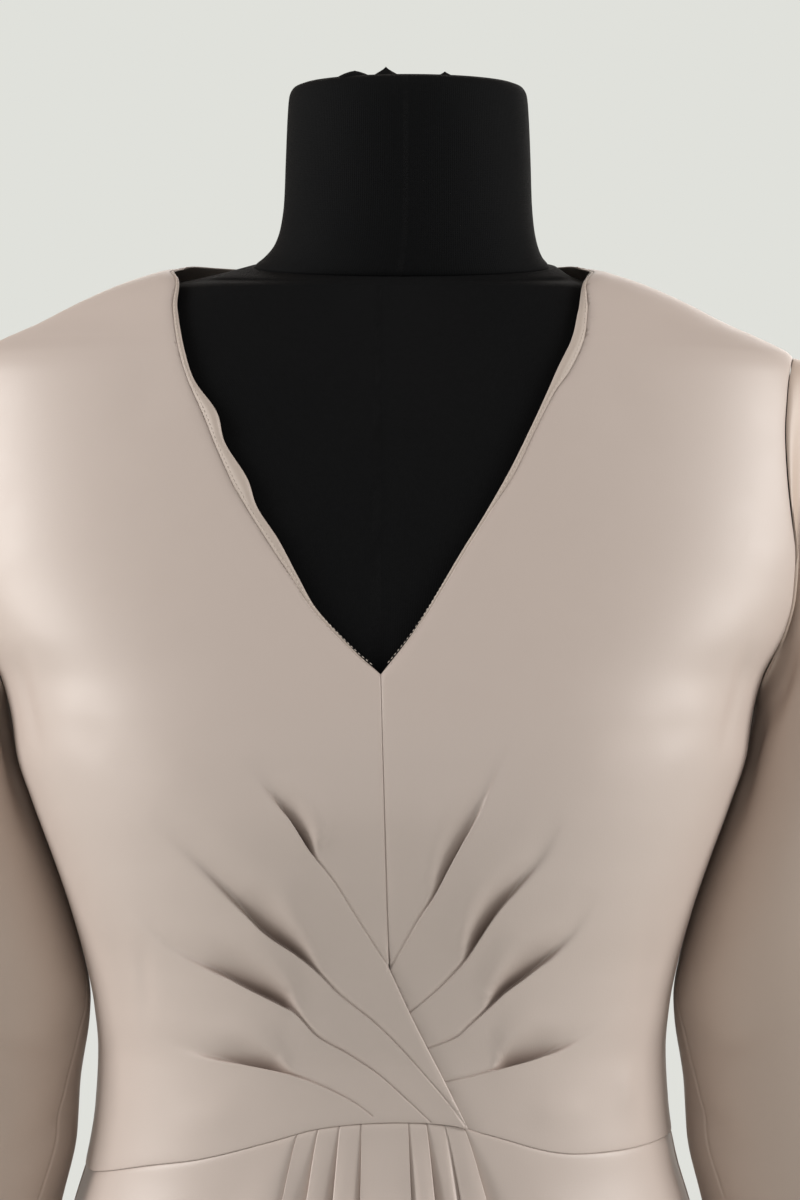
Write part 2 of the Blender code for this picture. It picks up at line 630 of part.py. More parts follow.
def back_panel(name, side, material):
    """One bodice back; its girth runs from the centre back to the side."""
    low_z = WAIST_Z[0] if side < 0 else WAIST_Z[-1]
    bottom = []
    for share in np.linspace(0, 1, 12):
        g = ZIP_SPLIT + (quarter(low_z, True) - ZIP_SPLIT) * share
        bottom.append((g, waist_back_z(g, side)))
    up = seam_up(low_z, UNDERARM_Z, True, 1)
    hole = armhole_line(True, 1)
    top = [shoulder_point(s, True, 1) for s in np.linspace(SHOULDER_RUN, 0.0, 10)]
    neck = [(ZIP_SPLIT + (quarter(NECK_POINT_Z, True) - ZIP_SPLIT) * share,
             back_neck_z(share)) for share in np.linspace(1, 0, 12)]
    centre = [(ZIP_SPLIT, z) for z in np.linspace(neck[-1][1], bottom[0][1], 30)]
    loop = np.array(bottom[:-1] + up[:-1] + hole[:-1] + top[:-1] + neck[:-1] + centre[:-1])
    spots, triangles = fill(loop, yoke_rows(1, True), BACK_CELL)
    points = [surface(side * g, z, True) for g, z in spots]
    return wall(name, points, triangles, WALL, material)


def front_facing(name, side, table, material):
    """A strip under the front's neck edge, out to its own visible edge."""
    line, _ = neckline(table)
    out = left_hand(line) * side
    rows = []
    for k in range(len(line)):
        for share in FACING_SHARES:
            width = FACING_WIDTH * share
            if k == 0:
                p = np.array(shoulder_point(width + SEAM_GAP, False, side))
                p[0] -= side * SEAM_GAP
            elif k == len(line) - 1:
                p = line[k] + np.array([side * SEAM_GAP, -1.25 * width - SEAM_GAP])
            else:
                blend = min(k / 3, (len(line) - 1 - k) / 3, 1.0)
                target = line[k] + out[k] * width
                if blend < 1:
                    end = np.array(shoulder_point(width, False, side)) - line[0] \
                        if k < len(line) / 2 else np.array([0.0, -1.25 * width])
                    target = line[k] + out[k] * width * blend + end * (1 - blend)
                p = target
            rows.append(surface(p[0], p[1]))
    triangles = grid_triangles(len(line), len(FACING_SHARES))
    return wall(name, rows, triangles, FACING_WALL, material, WALL + LAYER_GAP)


def back_facing(name, side, material):
    """A strip under the back's neck edge, from the shoulder to the zip tape."""
    inner = ZIP_TAPE_WIDTH / 2 + 0.001
    points = []
    shares = np.linspace(0, 1, 10)
    for share in shares:
        for drop in FACING_SHARES:
            g_top = inner + (quarter(NECK_POINT_Z, True) - inner) * share
            z = back_neck_z(share) - 0.0004 - drop * BACK_FACING_WIDTH * (1 - 0.55 * share)
            g = g_top * (1 - share) + share * (quarter(z, True) - SEAM_GAP) if share else g_top
            points.append(surface(side * g, z, True))
    triangles = grid_triangles(len(shares), len(FACING_SHARES))
    return wall(name, points, triangles, FACING_WALL, material, WALL + LAYER_GAP)


# ------------------------------------------------------------------- sleeve


def sleeve(name, side, material):
    """An open tube hung from the armhole, turned down beside the dress."""
    turns = [2 * math.pi * k / SLEEVE_SIDES for k in range(SLEEVE_SIDES)]
    seam = []
    for turn in turns:
        cut, z = armhole(turn)
        behind = math.sin(turn) < 0
        away = max(cut - 0.0022, 0.0)
        g = quarter(z, behind) - away
        p = surface(g if not behind else -g, z, behind)
        p[0] = abs(p[0]) + 0.0006
        p[2] += 0.0008 * math.cos(turn)
        seam.append(p)
    points = []
    for r, (out_x, out_z, in_x, in_z, half, mid) in enumerate(SLEEVE_RINGS):
        keep = max(0.0, 1 - r / 3) ** 1.5
        for k, turn in enumerate(turns):
            share = (1 + math.cos(turn)) / 2
            ring = np.array([in_x + (out_x - in_x) * share, mid - half * math.sin(turn),
                             in_z + (out_z - in_z) * share]) / 1000
            first = SLEEVE_RINGS[0]
            plain = np.array([first[2] + (first[0] - first[2]) * share,
                              -first[4] * math.sin(turn),
                              first[3] + (first[1] - first[3]) * share]) / 1000
            p = ring + (seam[k] - plain) * keep
            points.append((side * p[0], p[1], p[2]))
    triangles = grid_triangles(len(SLEEVE_RINGS), SLEEVE_SIDES, wrap=True)
    middle = np.mean(points, axis=0)
    return wall(name, points, triangles, WALL, material, about=(middle[0], 0.0))


# -------------------------------------------------------------------- skirt


def fold_curve(keys, depths, at):
    """Soft waves through the fold depths."""
    k = int(np.clip(np.searchsorted(keys, at, side="right") - 1, 0, len(keys) - 2))
    t = (at - keys[k]) / (keys[k + 1] - keys[k])
    t = t * t * (3 - 2 * t)
    return depths[k] * (1 - t) + depths[k + 1] * t


def seam_height(share, behind, top_of):
    """Height of the waist seam at a share of the quarter girth."""
    z = WAIST_BACK_Z
    for _ in range(4):
        z = top_of(share * quarter(z, behind))
    return z


def skirt_panel(name, columns, centre_g, top_of, behind, material):
    """A skirt panel from its columns: share at the waist, share at the hem,
    depth at the waist, depth at the hem."""
    points = []
    for v in SKIRT_ROWS:
        spread = v ** 0.75
        for waist_share, hem_share, waist_depth, hem_depth in columns:
            share = waist_share + (hem_share - waist_share) * spread
            top = seam_height(waist_share, behind, top_of) - WAIST_GAP
            z = top + (HEM_Z - top) * v
            g = share * (quarter(z, behind) - SEAM_GAP / 2)
            if behind and abs(share) < 1e-6:
                g = centre_g
            depth = waist_depth + (hem_depth - waist_depth) * min(1.0, v * 1.15)
            p = surface(g, z, behind) + normal(g, z, behind) * depth / 1000
            points.append(p)
    triangles = grid_triangles(len(SKIRT_ROWS), len(columns))
    return wall(name, points, triangles, WALL, material)


def front_skirt(material):
    """The front skirt, pleated at the middle of the waist."""
    given = []
    for x, hem, waist_depth, hem_depth in FRONT_FOLDS:
        z = np.interp(x / 1000, WAIST_LINE[:, 0], WAIST_Z)
        given.append((np.clip(girth_at(x / 1000, z) / quarter(z), -1, 1), hem,
                      waist_depth, hem_depth))
    given[0] = (-1.0, *given[0][1:])
    given[-1] = (1.0, *given[-1][1:])
    columns = halved(given)
    return skirt_panel("skirt_front", columns, 0.0, waist_z, False, material)


def halved(rows):
    """The rows with the middle of each pair between them."""
    found = []
    for a, b in zip(rows[:-1], rows[1:]):
        found += [tuple(a), tuple((p + q) / 2 for p, q in zip(a, b))]
    return found + [tuple(rows[-1])]


def back_skirt(name, side, material):
    """One back skirt, from the side seam to the centre back."""
    rows = [(side * s, side * s, 0.0, d) for s, d in BACK_FOLDS]
    return skirt_panel(name, halved(rows), side * ZIP_SPLIT,
                       lambda g: waist_back_z(g, side), True, material)


# --------------------------------------------------------------- form, stand


def form_point(angle, z):
    """A point of the form's torso, just inside the cloth."""
    high = min(z + FORM_DROP, LEVELS[-1]) if z > 1.2 else z
    wide, front, back, square_front, square_back = section(high)
    side_in, front_in, back_in = (np.interp(z, FORM_EASE[:, 0], FORM_EASE[:, i]) / 1000
                                  for i in (1, 2, 3))
    s, c = abs(math.sin(angle)), math.cos(angle)
    depth = front - front_in if c > 0 else back - back_in
    square = square_front if c > 0 else square_back
    r = ((s / (wide - side_in)) ** square + (abs(c) / depth) ** square) ** (-1 / square)
    return np.array([r * math.sin(angle), -r * math.cos(angle), z])


def neck_point(angle, ring):
    """A point of a leaning oval ring of the shoulder top or the neck block."""
    middle, lean, centre, wide, front, back = ring
    s, c = math.sin(angle), math.cos(angle)
    y = -front * c if c > 0 else -back * c
    return np.array([centre + wide * s, y, middle + lean * y])


def turned(name, rings, material):
    """A closed body through rings of points, capped at both ends."""
    sides = len(rings[0])
    points = [p for ring in rings for p in ring]
    faces = [tuple(t) for t in grid_triangles(len(rings), sides, wrap=True)]
    faces.append(tuple(range(sides))[::-1])
    faces.append(tuple(range(len(points) - sides, len(points))))
    return finish(name, points, [tuple(map(int, f)) for f in faces], material)


def form_torso(material):
    angles = [2 * math.pi * k / FORM_SIDES for k in range(FORM_SIDES)]
    rings = [[form_point(a, z) for a in angles] for z in FORM_LEVELS]
    rings.append([neck_point(a, SHOULDER_TOP) for a in angles])
    rings.append([neck_point(a, NECK_SEAM) for a in angles])
    return turned("form_torso", rings, material)


def form_neck(material):
    angles = [2 * math.pi * k / FORM_SIDES for k in range(FORM_SIDES)]
    lift = np.array([0.0, 0.0, SEAT_GAP])
    rings = [[neck_point(a, ring) + lift for a in angles] for ring in NECK_RINGS]
    return turned("form_neck", rings, material)


def lathe(name, profile, material, sides=40):
    """A round body from its profile: radius, height, bottom to top."""
    rings = [[(r * math.cos(2 * math.pi * k / sides), r * math.sin(2 * math.pi * k / sides), z)
              for k in range(sides)] for r, z in profile]
    return turned(name, rings, material)


def stand(steel, black):
    """Collar under the torso, pole, and round base plate with its hub."""
    hub_z = BASE_THICKNESS + 0.030
    lathe("stand_base", ((BASE_RADIUS - 0.003, 0.0), (BASE_RADIUS, 0.003),
                         (BASE_RADIUS, BASE_THICKNESS - 0.004),
                         (BASE_RADIUS - 0.004, BASE_THICKNESS), (0.030, BASE_THICKNESS + 0.002),
                         (0.022, BASE_THICKNESS + 0.006), (0.020, hub_z - 0.002),
                         (0.018, hub_z)), black, 64)
    collar_low = FORM_BOTTOM_Z - 0.045
    lathe("stand_pole", ((POLE_RADIUS, hub_z + SEAT_GAP),
                         (POLE_RADIUS, collar_low - SEAT_GAP)), steel)
    lathe("stand_collar", ((0.019, collar_low), (0.022, collar_low + 0.003),
                           (0.022, FORM_BOTTOM_Z - 0.014), (0.045, FORM_BOTTOM_Z - 0.010),
                           (0.048, FORM_BOTTOM_Z - 0.007),
                           (0.048, FORM_BOTTOM_Z - SEAT_GAP)), black)


# ---------------------------------------------------------------------- zip


def block(name, size, place, material, lean=0.0, top_taper=1.0):
    """A block leaning about X, its own axes: across, out, up."""
    wide, deep, tall = size
    corners = []
    for up in (-0.5, 0.5):
        slim = top_taper if up > 0 else 1.0
        for a, b in ((-0.5, -0.5), (0.5, -0.5), (0.5, 0.5), (-0.5, 0.5)):
            corners.append(Vector((a * wide * slim, b * deep, up * tall)))
    turn = Matrix.Rotation(lean, 3, "X")
    points = [tuple(turn @ c + Vector(place)) for c in corners]
    faces = [(3, 2, 1, 0), (4, 5, 6, 7), (0, 1, 5, 4), (1, 2, 6, 5), (2, 3, 7, 6), (3, 0, 4, 7)]
    return finish(name, points, faces, material)


def zip_parts(tape_material, metal):
    """Tape inside the centre back, slider outside its top, pull tab on a hinge."""
    stations = np.linspace(ZIP_TOP_Z, ZIP_END_Z, 22)
    half = ZIP_TAPE_WIDTH / 2
    points = [surface(g, z, True) for z in stations for g in (-half, 0.0, half)]
    wall("zip_tape", points, grid_triangles(len(stations), 3), FACING_WALL, tape_material,
         WALL + 1.3 * LAYER_GAP)

    seat_z = 1.4345
    seat = surface(0.0, seat_z, True)
    low = surface(0.0, seat_z - 0.02, True)
    down = (low - seat) / np.linalg.norm(low - seat)
    out = np.array([0.0, -down[2], down[1]])
    lean = math.atan2(down[1], -down[2])
    body_deep, body_tall = 0.0022, 0.0085
    centre = seat + out * (LAYER_GAP + body_deep / 2 + 0.00015)
    body = block("zip_slider", (0.0050, body_deep, body_tall), centre, metal, lean, 0.8)
    lug_at = seat + out * (LAYER_GAP + body_deep + 0.0009) + down * 0.0005
    lug = block("zip_slider_lug", (0.0018, 0.0020, 0.0030), lug_at, metal, lean)
    union = body.modifiers.new("lug", "BOOLEAN")
    union.operation = "UNION"
    union.solver = "EXACT"
    union.object = lug
    lug.hide_render = True
    lug.display_type = "WIRE"

    hinge = seat + out * (LAYER_GAP + body_deep + 0.0016) + down * 0.0005
    pull = zip_pull(hinge, lean, metal)
    return pull


def zip_pull(hinge, lean, metal):
    """The tab: two ears beside the lug and a drop-shaped plate below them."""
    thick, long = 0.0010, 0.0240
    outline = ((0.0030, 0.0010), (0.0030, -0.0040), (0.0024, -0.0080), (0.0024, -0.0110),
               (0.0036, -0.0170), (0.0034, -0.0215), (0.0018, -long + 0.0004),
               (-0.0018, -long + 0.0004), (-0.0034, -0.0215), (-0.0036, -0.0170),
               (-0.0024, -0.0110), (-0.0024, -0.0080), (-0.0030, -0.0040), (-0.0030, 0.0010),
               (-0.0014, 0.0010), (-0.0014, -0.0030), (0.0014, -0.0030), (0.0014, 0.0010))
    count = len(outline)
    points = [(x, y, z) for y in (-thick / 2, thick / 2) for x, z in outline]
    faces = [tuple(range(count)), tuple(range(count, 2 * count))[::-1]]
    faces += [(k, (k + 1) % count, (k + 1) % count + count, k + count) for k in range(count)]
    tab = finish("zip_pull", points, faces, metal)
    tab.location = Vector(hinge)
    tab.rotation_euler = (lean - PULL_LEAN, 0.0, 0.0)
    return tab


PULL_LEAN = math.radians(7.0)   # the tab's tip rests on the cloth

# ---------------------------------------------------------------- materials


def principled(name, colour, roughness, metallic=0.0, sheen=0.0):
    material = bpy.data.materials.new(name)
    material.use_nodes = True
    shader = material.node_tree.nodes["Principled BSDF"]
    shader.inputs["Base Color"].default_value = (*colour, 1.0)
    shader.inputs["Roughness"].default_value = roughness
    shader.inputs["Metallic"].default_value = metallic
    shader.inputs["Sheen Weight"].default_value = sheen
    material.diffuse_color = (*colour, 1.0)
    return material


def main():
    for old in list(bpy.data.objects):
        bpy.data.objects.remove(old, do_unlink=True)
    silk = principled("silk", (0.46, 0.40, 0.34), 0.45, sheen=0.2)
    facing = principled("silk_facing", (0.49, 0.43, 0.37), 0.5)
    tape = principled("zip_tape", (0.42, 0.36, 0.30), 0.7)
    jersey = principled("black_jersey", (0.006, 0.006, 0.007), 0.9)
    painted = principled("painted_metal", (0.02, 0.02, 0.022), 0.45, 0.4)
    steel = principled("brushed_steel", (0.60, 0.60, 0.61), 0.3, 1.0)
    zip_metal = principled("zip_metal", (0.45, 0.40, 0.35), 0.35, 0.8)

    front_panel("bodice_front_right", -1, NECKLINE_RIGHT, TUCKS_RIGHT, silk)
    front_panel("bodice_front_left", 1, NECKLINE_LEFT, TUCKS_LEFT, silk)
    back_panel("bodice_back_right", -1, silk)
    back_panel("bodice_back_left", 1, silk)
    front_facing("facing_front_right", -1, NECKLINE_RIGHT, facing)
    front_facing("facing_front_left", 1, NECKLINE_LEFT, facing)
    back_facing("facing_back_right", -1, facing)
    back_facing("facing_back_left", 1, facing)
    sleeve("sleeve_right", -1, silk)
    sleeve("sleeve_left", 1, silk)
    front_skirt(silk)
    back_skirt("skirt_back_right", -1, silk)
    back_skirt("skirt_back_left", 1, silk)
    zip_parts(tape, zip_metal)
    form_torso(jersey)
    form_neck(jersey)
    stand(steel, painted)


main()
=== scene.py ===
"""Looks of a silk dress on a black dress form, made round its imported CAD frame.

Metres, +Z up, the front of the dress towards -Y.  "Right" and "left" are the
wearer's own, so the right side lies at -X.

The worn cloth follows one surface, given by horizontal sections.  A point of
it is named by its girth g, measured round the section from the centre front
(or the centre back), and its height z.  A piece is an outline on that surface,
filled with small triangles, and lifted or sunk by its tucks, folds and seams.
"""
import math

import bpy
import numpy as np
from bpy.props import FloatProperty, FloatVectorProperty, PointerProperty
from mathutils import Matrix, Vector, kdtree
from mathutils.geometry import delaunay_2d_cdt


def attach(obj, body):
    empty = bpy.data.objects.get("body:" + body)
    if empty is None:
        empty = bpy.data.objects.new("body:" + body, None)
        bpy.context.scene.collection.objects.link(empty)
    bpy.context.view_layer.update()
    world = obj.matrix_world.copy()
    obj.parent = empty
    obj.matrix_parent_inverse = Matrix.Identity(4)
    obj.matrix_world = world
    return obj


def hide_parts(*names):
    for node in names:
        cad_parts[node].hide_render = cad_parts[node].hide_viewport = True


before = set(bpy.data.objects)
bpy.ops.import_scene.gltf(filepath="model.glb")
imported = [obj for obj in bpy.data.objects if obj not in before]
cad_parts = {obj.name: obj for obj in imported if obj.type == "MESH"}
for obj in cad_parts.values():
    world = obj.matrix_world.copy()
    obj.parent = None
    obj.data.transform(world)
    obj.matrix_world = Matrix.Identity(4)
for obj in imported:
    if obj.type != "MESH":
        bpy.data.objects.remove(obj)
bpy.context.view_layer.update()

bl_info = {
    "name": "Silk Dress on a Form",
    "version": (1, 0, 0),
    "blender": (4, 5, 0),
    "location": "3D View > Sidebar > Dress",
    "description": "Makes a tucked silk dress on a black dress form, and its studio",
    "category": "Add Mesh",
}

DRESS_BODY = "dress_on_form"

# ------------------------------------------------------- sizes shared with the CAD (m)
CLOTH_DEPTH = 0.0012    # depth of the CAD's cloth walls
LAYER_GAP = 0.0009
V_TIP_Z = 1.2466
SHOULDER_TIP_Z = 1.3985
NECK_POINT_Z = 1.4440
BACK_NECK_RISE = 0.0030
UNDERARM_Z = 1.2360
ARMHOLE_FRONT = 0.053
ARMHOLE_BACK = 0.046
FACING_WIDTH = 0.022
BACK_FACING_WIDTH = 0.024
HEM_Z = 0.470
WAIST_BACK_Z = 1.0120
ZIP_TOP_Z = 1.4340
ZIP_END_Z = 0.930
ZIP_TAPE_WIDTH = 0.022
FORM_BOTTOM_Z = 0.800
FORM_TOP_Z = 1.4310
NECK_TOP_Z = 1.532
NECK_MIDDLE_X = 0.0128      # the neck block stands a little to the left

# z, half-width, depth in front, depth behind, squareness in front, behind
SECTIONS = np.array([
    (0.45, 0.208, 0.178, 0.18, 2.05, 2.05), (0.6, 0.2, 0.17, 0.174, 2.05, 2.05),
    (0.72, 0.1925, 0.16, 0.166, 2.05, 2.1), (0.8, 0.186, 0.151, 0.158, 2.1, 2.1),
    (0.86, 0.179, 0.143, 0.15, 2.1, 2.15), (0.9, 0.1725, 0.137, 0.142, 2.15, 2.15),
    (0.95, 0.1605, 0.128, 0.127, 2.2, 2.2), (0.986, 0.151, 0.1195, 0.113, 2.25, 2.2),
    (1.01, 0.144, 0.1145, 0.103, 2.3, 2.2), (1.036, 0.1398, 0.1125, 0.097, 2.35, 2.2),
    (1.062, 0.1385, 0.1135, 0.0955, 2.35, 2.2), (1.085, 0.1405, 0.1185, 0.0965, 2.4, 2.2),
    (1.104, 0.1443, 0.1245, 0.0985, 2.4, 2.2), (1.131, 0.1515, 0.1345, 0.1025, 2.5, 2.2),
    (1.154, 0.1592, 0.141, 0.106, 2.55, 2.2), (1.182, 0.1695, 0.1445, 0.11, 2.6, 2.2),
    (1.206, 0.1775, 0.143, 0.113, 2.6, 2.2), (1.224, 0.18, 0.14, 0.115, 2.6, 2.25),
    (1.242, 0.185, 0.1345, 0.1165, 2.55, 2.3), (1.264, 0.1985, 0.126, 0.117, 2.5, 2.35),
    (1.285, 0.208, 0.1175, 0.1165, 2.4, 2.4), (1.309, 0.213, 0.108, 0.115, 2.35, 2.35),
    (1.34, 0.2135, 0.0965, 0.111, 2.25, 2.25), (1.37, 0.212, 0.085, 0.105, 2.15, 2.2),
    (1.39, 0.207, 0.0765, 0.0995, 2.1, 2.1), (1.4, 0.2, 0.0715, 0.096, 2.05, 2.05),
    (1.407, 0.187, 0.068, 0.0935, 2, 2), (1.415, 0.169, 0.064, 0.0905, 2, 2),
    (1.424, 0.1515, 0.0595, 0.087, 2, 2), (1.429, 0.141, 0.057, 0.0845, 2, 2),
    (1.435, 0.1265, 0.054, 0.0815, 2, 2), (1.44, 0.111, 0.0515, 0.078, 2, 2),
    (1.444, 0.0965, 0.049, 0.0745, 2, 2), (1.449, 0.086, 0.048, 0.07, 2, 2)])

# Edge of each front's facing along the V, millimetres: across, height, and how
# far the front's own edge lies back from it.
NECKLINE_RIGHT = (
    (-96.5, 1444, 1), (-98.5, 1436, 1.5), (-98.2, 1421, 2.2), (-93.6, 1399, 2.6),
    (-88.6, 1384.6, 2.8), (-77.6, 1369.1, 6.4), (-73.6, 1354.7, 4.6), (-62.6, 1337.2, 7.2),
    (-58, 1324.1, 4.4), (-47.9, 1308.9, 4.6), (-38.6, 1291.8, 2.8), (-29.9, 1276.8, 1.6),
    (-11.8, 1257.1, 0.9), (-0.2, 1246.8, 0.5))
NECKLINE_LEFT = (
    (96.5, 1444, 1), (98, 1435.1, 1.5), (94.3, 1419, 4.5), (91, 1406, 5.5), (83.9, 1391.1, 5.6),
    (79, 1380, 3.2), (70.6, 1362, 2.4), (60.2, 1341.2, 2.6), (48.6, 1321, 1.6),
    (37.1, 1302.7, 1.5), (15.7, 1267.1, 0.9), (0.2, 1246.8, 0.5))

LAP = ((3.8, 1111.1), (13.4, 1089.7), (21.7, 1072.6), (29.6, 1057), (40.4, 1035))

WAIST = (
    (-138.5, 1006), (-111.6, 1013.7), (-83.5, 1019.5), (-49.6, 1029.3), (-29.1, 1035.2),
    (0, 1038.1), (30.6, 1037), (50.1, 1032), (82.9, 1022.3), (112.9, 1020.9), (138.5, 1022.5))

# Tucks, from the stitched end through the mouth to where the fold dies out,
# millimetres: across, height, depth of the hollow, its width, height of the
# lip beside it, and softness of the lip's edge.
TUCKS_RIGHT = (
    ((3.4, 1112, 0.7, 1.5, 0.3, 0.1), (-9.5, 1132.4, 0.7, 1.5, 0.3, 0.1),
     (-20.8, 1151, 0.8, 1.6, 0.4, 0.1), (-29.6, 1162.6, 1.4, 2, 0.7, 0.1),
     (-33.6, 1168.4, 4.6, 5, 1.1, 0.2), (-39.6, 1178, 4.4, 8, 1.1, 0.5),
     (-46.6, 1187.6, 2.8, 10, 0.8, 1.6), (-54.6, 1197.6, 1, 11, 0.3, 3), (-62, 1208, 0, 11, 0, 4)),
    ((38.4, 1036.9, 0.6, 1.3, 0.2, 0.1), (31.9, 1046.3, 0.7, 1.4, 0.3, 0.1),
     (19.9, 1060.8, 0.7, 1.5, 0.3, 0.1), (8.3, 1074.1, 0.8, 1.6, 0.3, 0.1),
     (-3.6, 1085.9, 0.8, 1.6, 0.4, 0.1), (-18.8, 1098.3, 0.9, 1.7, 0.5, 0.1),
     (-29.3, 1109.4, 2, 2.6, 0.9, 0.1), (-38.4, 1117.5, 4.8, 7, 1.4, 0.2),
     (-53.5, 1128.4, 5.6, 13, 1.6, 0.5), (-65.5, 1140.4, 5, 17, 1.4, 1),
     (-77.3, 1152.7, 3.6, 19, 1.1, 2.2), (-91.1, 1165.4, 1.8, 20, 0.6, 3.6),
     (-108, 1179, 0, 20, 0, 5)),
    ((23, 1038.4, 0.6, 1.3, 0.2, 0.1), (10.6, 1050.2, 0.7, 1.5, 0.3, 0.1),
     (-1.4, 1060.9, 0.8, 1.6, 0.3, 0.1), (-15.2, 1070.3, 0.9, 1.7, 0.4, 0.1),
     (-29.5, 1078.7, 1, 1.8, 0.6, 0.1), (-39.4, 1089.6, 2.2, 3, 1, 0.1),
     (-46, 1093.4, 5, 8.5, 1.4, 0.2), (-60, 1100.4, 5.6, 13, 1.6, 0.4),
     (-74, 1107.4, 4.6, 15, 1.4, 0.9), (-88, 1113.5, 3.2, 16, 1, 1.8),
     (-100.6, 1120.8, 2, 16, 0.7, 2.6), (-118, 1139.2, 0, 16, 0, 4)),
    ((-4, 1041.4, 0.6, 1.3, 0.2, 0.1), (-12, 1047.4, 0.7, 1.5, 0.3, 0.1),
     (-22.3, 1053, 0.8, 1.6, 0.4, 0.1), (-33, 1057.6, 0.9, 1.7, 0.6, 0.1),
     (-43, 1060.8, 2.2, 3, 0.9, 0.1), (-51, 1062.6, 4.2, 8, 1.2, 0.3),
     (-64, 1064.8, 4, 11, 1.2, 0.6), (-81.1, 1067.6, 2.6, 12, 0.9, 1.4),
     (-95, 1070.6, 1.2, 12, 0.4, 2.6), (-110, 1076.4, 0, 12, 0, 4)))
TUCKS_LEFT = (
    ((4.2, 1110.6, 0.7, 1.4, 0.3, 0.1), (9.3, 1119.7, 0.7, 1.5, 0.3, 0.1),
     (17.9, 1135.2, 0.9, 1.7, 0.5, 0.1), (23.9, 1144.6, 1.8, 2.4, 0.8, 0.1),
     (30.7, 1157.9, 3.6, 6, 1.2, 0.3), (38.8, 1173.1, 3.6, 10, 1.3, 0.8),
     (45.6, 1186, 2.9, 12, 1.1, 1.4), (53.2, 1203.2, 1.8, 13, 0.7, 2.4),
     (63.6, 1227.4, 0, 13, 0, 4)),
    ((13.8, 1090.2, 0.7, 1.4, 0.3, 0.1), (24.4, 1099.2, 0.8, 1.5, 0.3, 0.1),
     (32.2, 1107, 0.9, 1.7, 0.5, 0.1), (38.6, 1114.6, 1.8, 2.2, 0.9, 0.1),
     (44.6, 1124.4, 4.8, 6.5, 1.4, 0.2), (52.5, 1136.5, 5, 9.5, 1.5, 0.5),
     (62.9, 1149, 3.8, 12, 1.3, 1.1), (74.1, 1162.5, 2.2, 14, 0.8, 2.4),
     (84.8, 1182.9, 0, 14, 0, 4)),
    ((22.6, 1073, 0.7, 1.4, 0.3, 0.1), (34.7, 1078, 0.8, 1.6, 0.4, 0.1),
     (40.7, 1083.4, 0.9, 1.7, 0.5, 0.1), (49, 1091.3, 2, 2.4, 0.9, 0.1),
     (56.2, 1098.4, 4.8, 7, 1.4, 0.2), (66.6, 1106.2, 5, 11, 1.5, 0.5),
     (78.6, 1115.6, 3.8, 13, 1.2, 1.2), (90.3, 1127.6, 2, 14, 0.7, 2.4),
     (101.3, 1144.9, 0, 14, 0, 4)),
    ((30.6, 1057.2, 0.7, 1.4, 0.3, 0.1), (40.7, 1059.2, 0.8, 1.6, 0.4, 0.1),
     (50, 1061.6, 1, 1.8, 0.5, 0.1), (53.4, 1062.4, 2, 2.6, 0.8, 0.1),
     (59.5, 1064, 4.2, 9, 1.2, 0.2), (72, 1067.1, 4, 12, 1.3, 0.5),
     (86.1, 1072, 2.6, 13, 0.9, 1.4), (99.9, 1079.5, 1.2, 13, 0.4, 2.4),
     (114.6, 1092.5, 0, 13, 0, 4)))

# Soft creases of the worn cloth: points across and height in millimetres, then
# the depth of the trough (a ridge where it is negative) and its width.
CREASES_RIGHT = (
    (((-112, 1128), (-110.6, 1100), (-109.5, 1071)), 0.7, 5),
    (((-128, 1150), (-122, 1110), (-121, 1060)), 0.5, 9),
    (((-150, 1226), (-120, 1206), (-92, 1196)), 0.9, 12),
    (((-171, 1262), (-168, 1236), (-158, 1200)), 1.4, 7),
    (((-60, 1046), (-86, 1036), (-104, 1040)), -0.8, 9),
    (((-96, 1400), (-110, 1380), (-120, 1350)), 0.4, 12))
CREASES_LEFT = (
    (((66, 1043), (84, 1040), (100, 1047)), -0.9, 8),
    (((112, 1062), (116, 1048), (113, 1034)), -0.9, 7),
    (((126, 1150), (124, 1110), (120, 1060)), 0.6, 9),
    (((172, 1270), (169, 1238), (156, 1196)), 1.6, 7),
    (((150, 1228), (120, 1212), (96, 1206)), 0.8, 12),
    (((97, 1398), (112, 1378), (124, 1346)), 0.4, 12))
# Behind: across is the girth from the centre back.
CREASES_BACK = (
    (((64, 1014), (60, 1070), (55, 1128)), 1.1, 3.2),
    (((22, 1030), (30, 1058), (42, 1076)), 0.8, 7),
    (((92, 1030), (84, 1052), (70, 1068)), 0.9, 8),
    (((110, 1072), (96, 1088), (78, 1098)), 0.7, 9),
    (((150, 1250), (128, 1225), (112, 1190)), 1.2, 10),
    (((128, 1290), (110, 1262), (100, 1226)), 0.7, 12),
    (((30, 1392), (62, 1378), (92, 1350)), 0.5, 12),
    (((14, 1120), (24, 1150), (28, 1190)), 0.5, 12))

# Knife edges of the front skirt's pleats, millimetres: across at the seam, the
# side on which its hollow lies, the hollow's depth 35 mm below and its width.
PLEATS = (
    (-38.4, -1, 2.6, 5), (-28.9, -1, 6, 2.6), (-19, -1, 7.5, 2.2), (-9, -1, 6, 1.6),
    (12.5, 1, 6, 1.7), (20.9, 1, 7.5, 2.8), (29.4, -1, 4, 1.1), (38.2, 1, 4.2, 4.4))

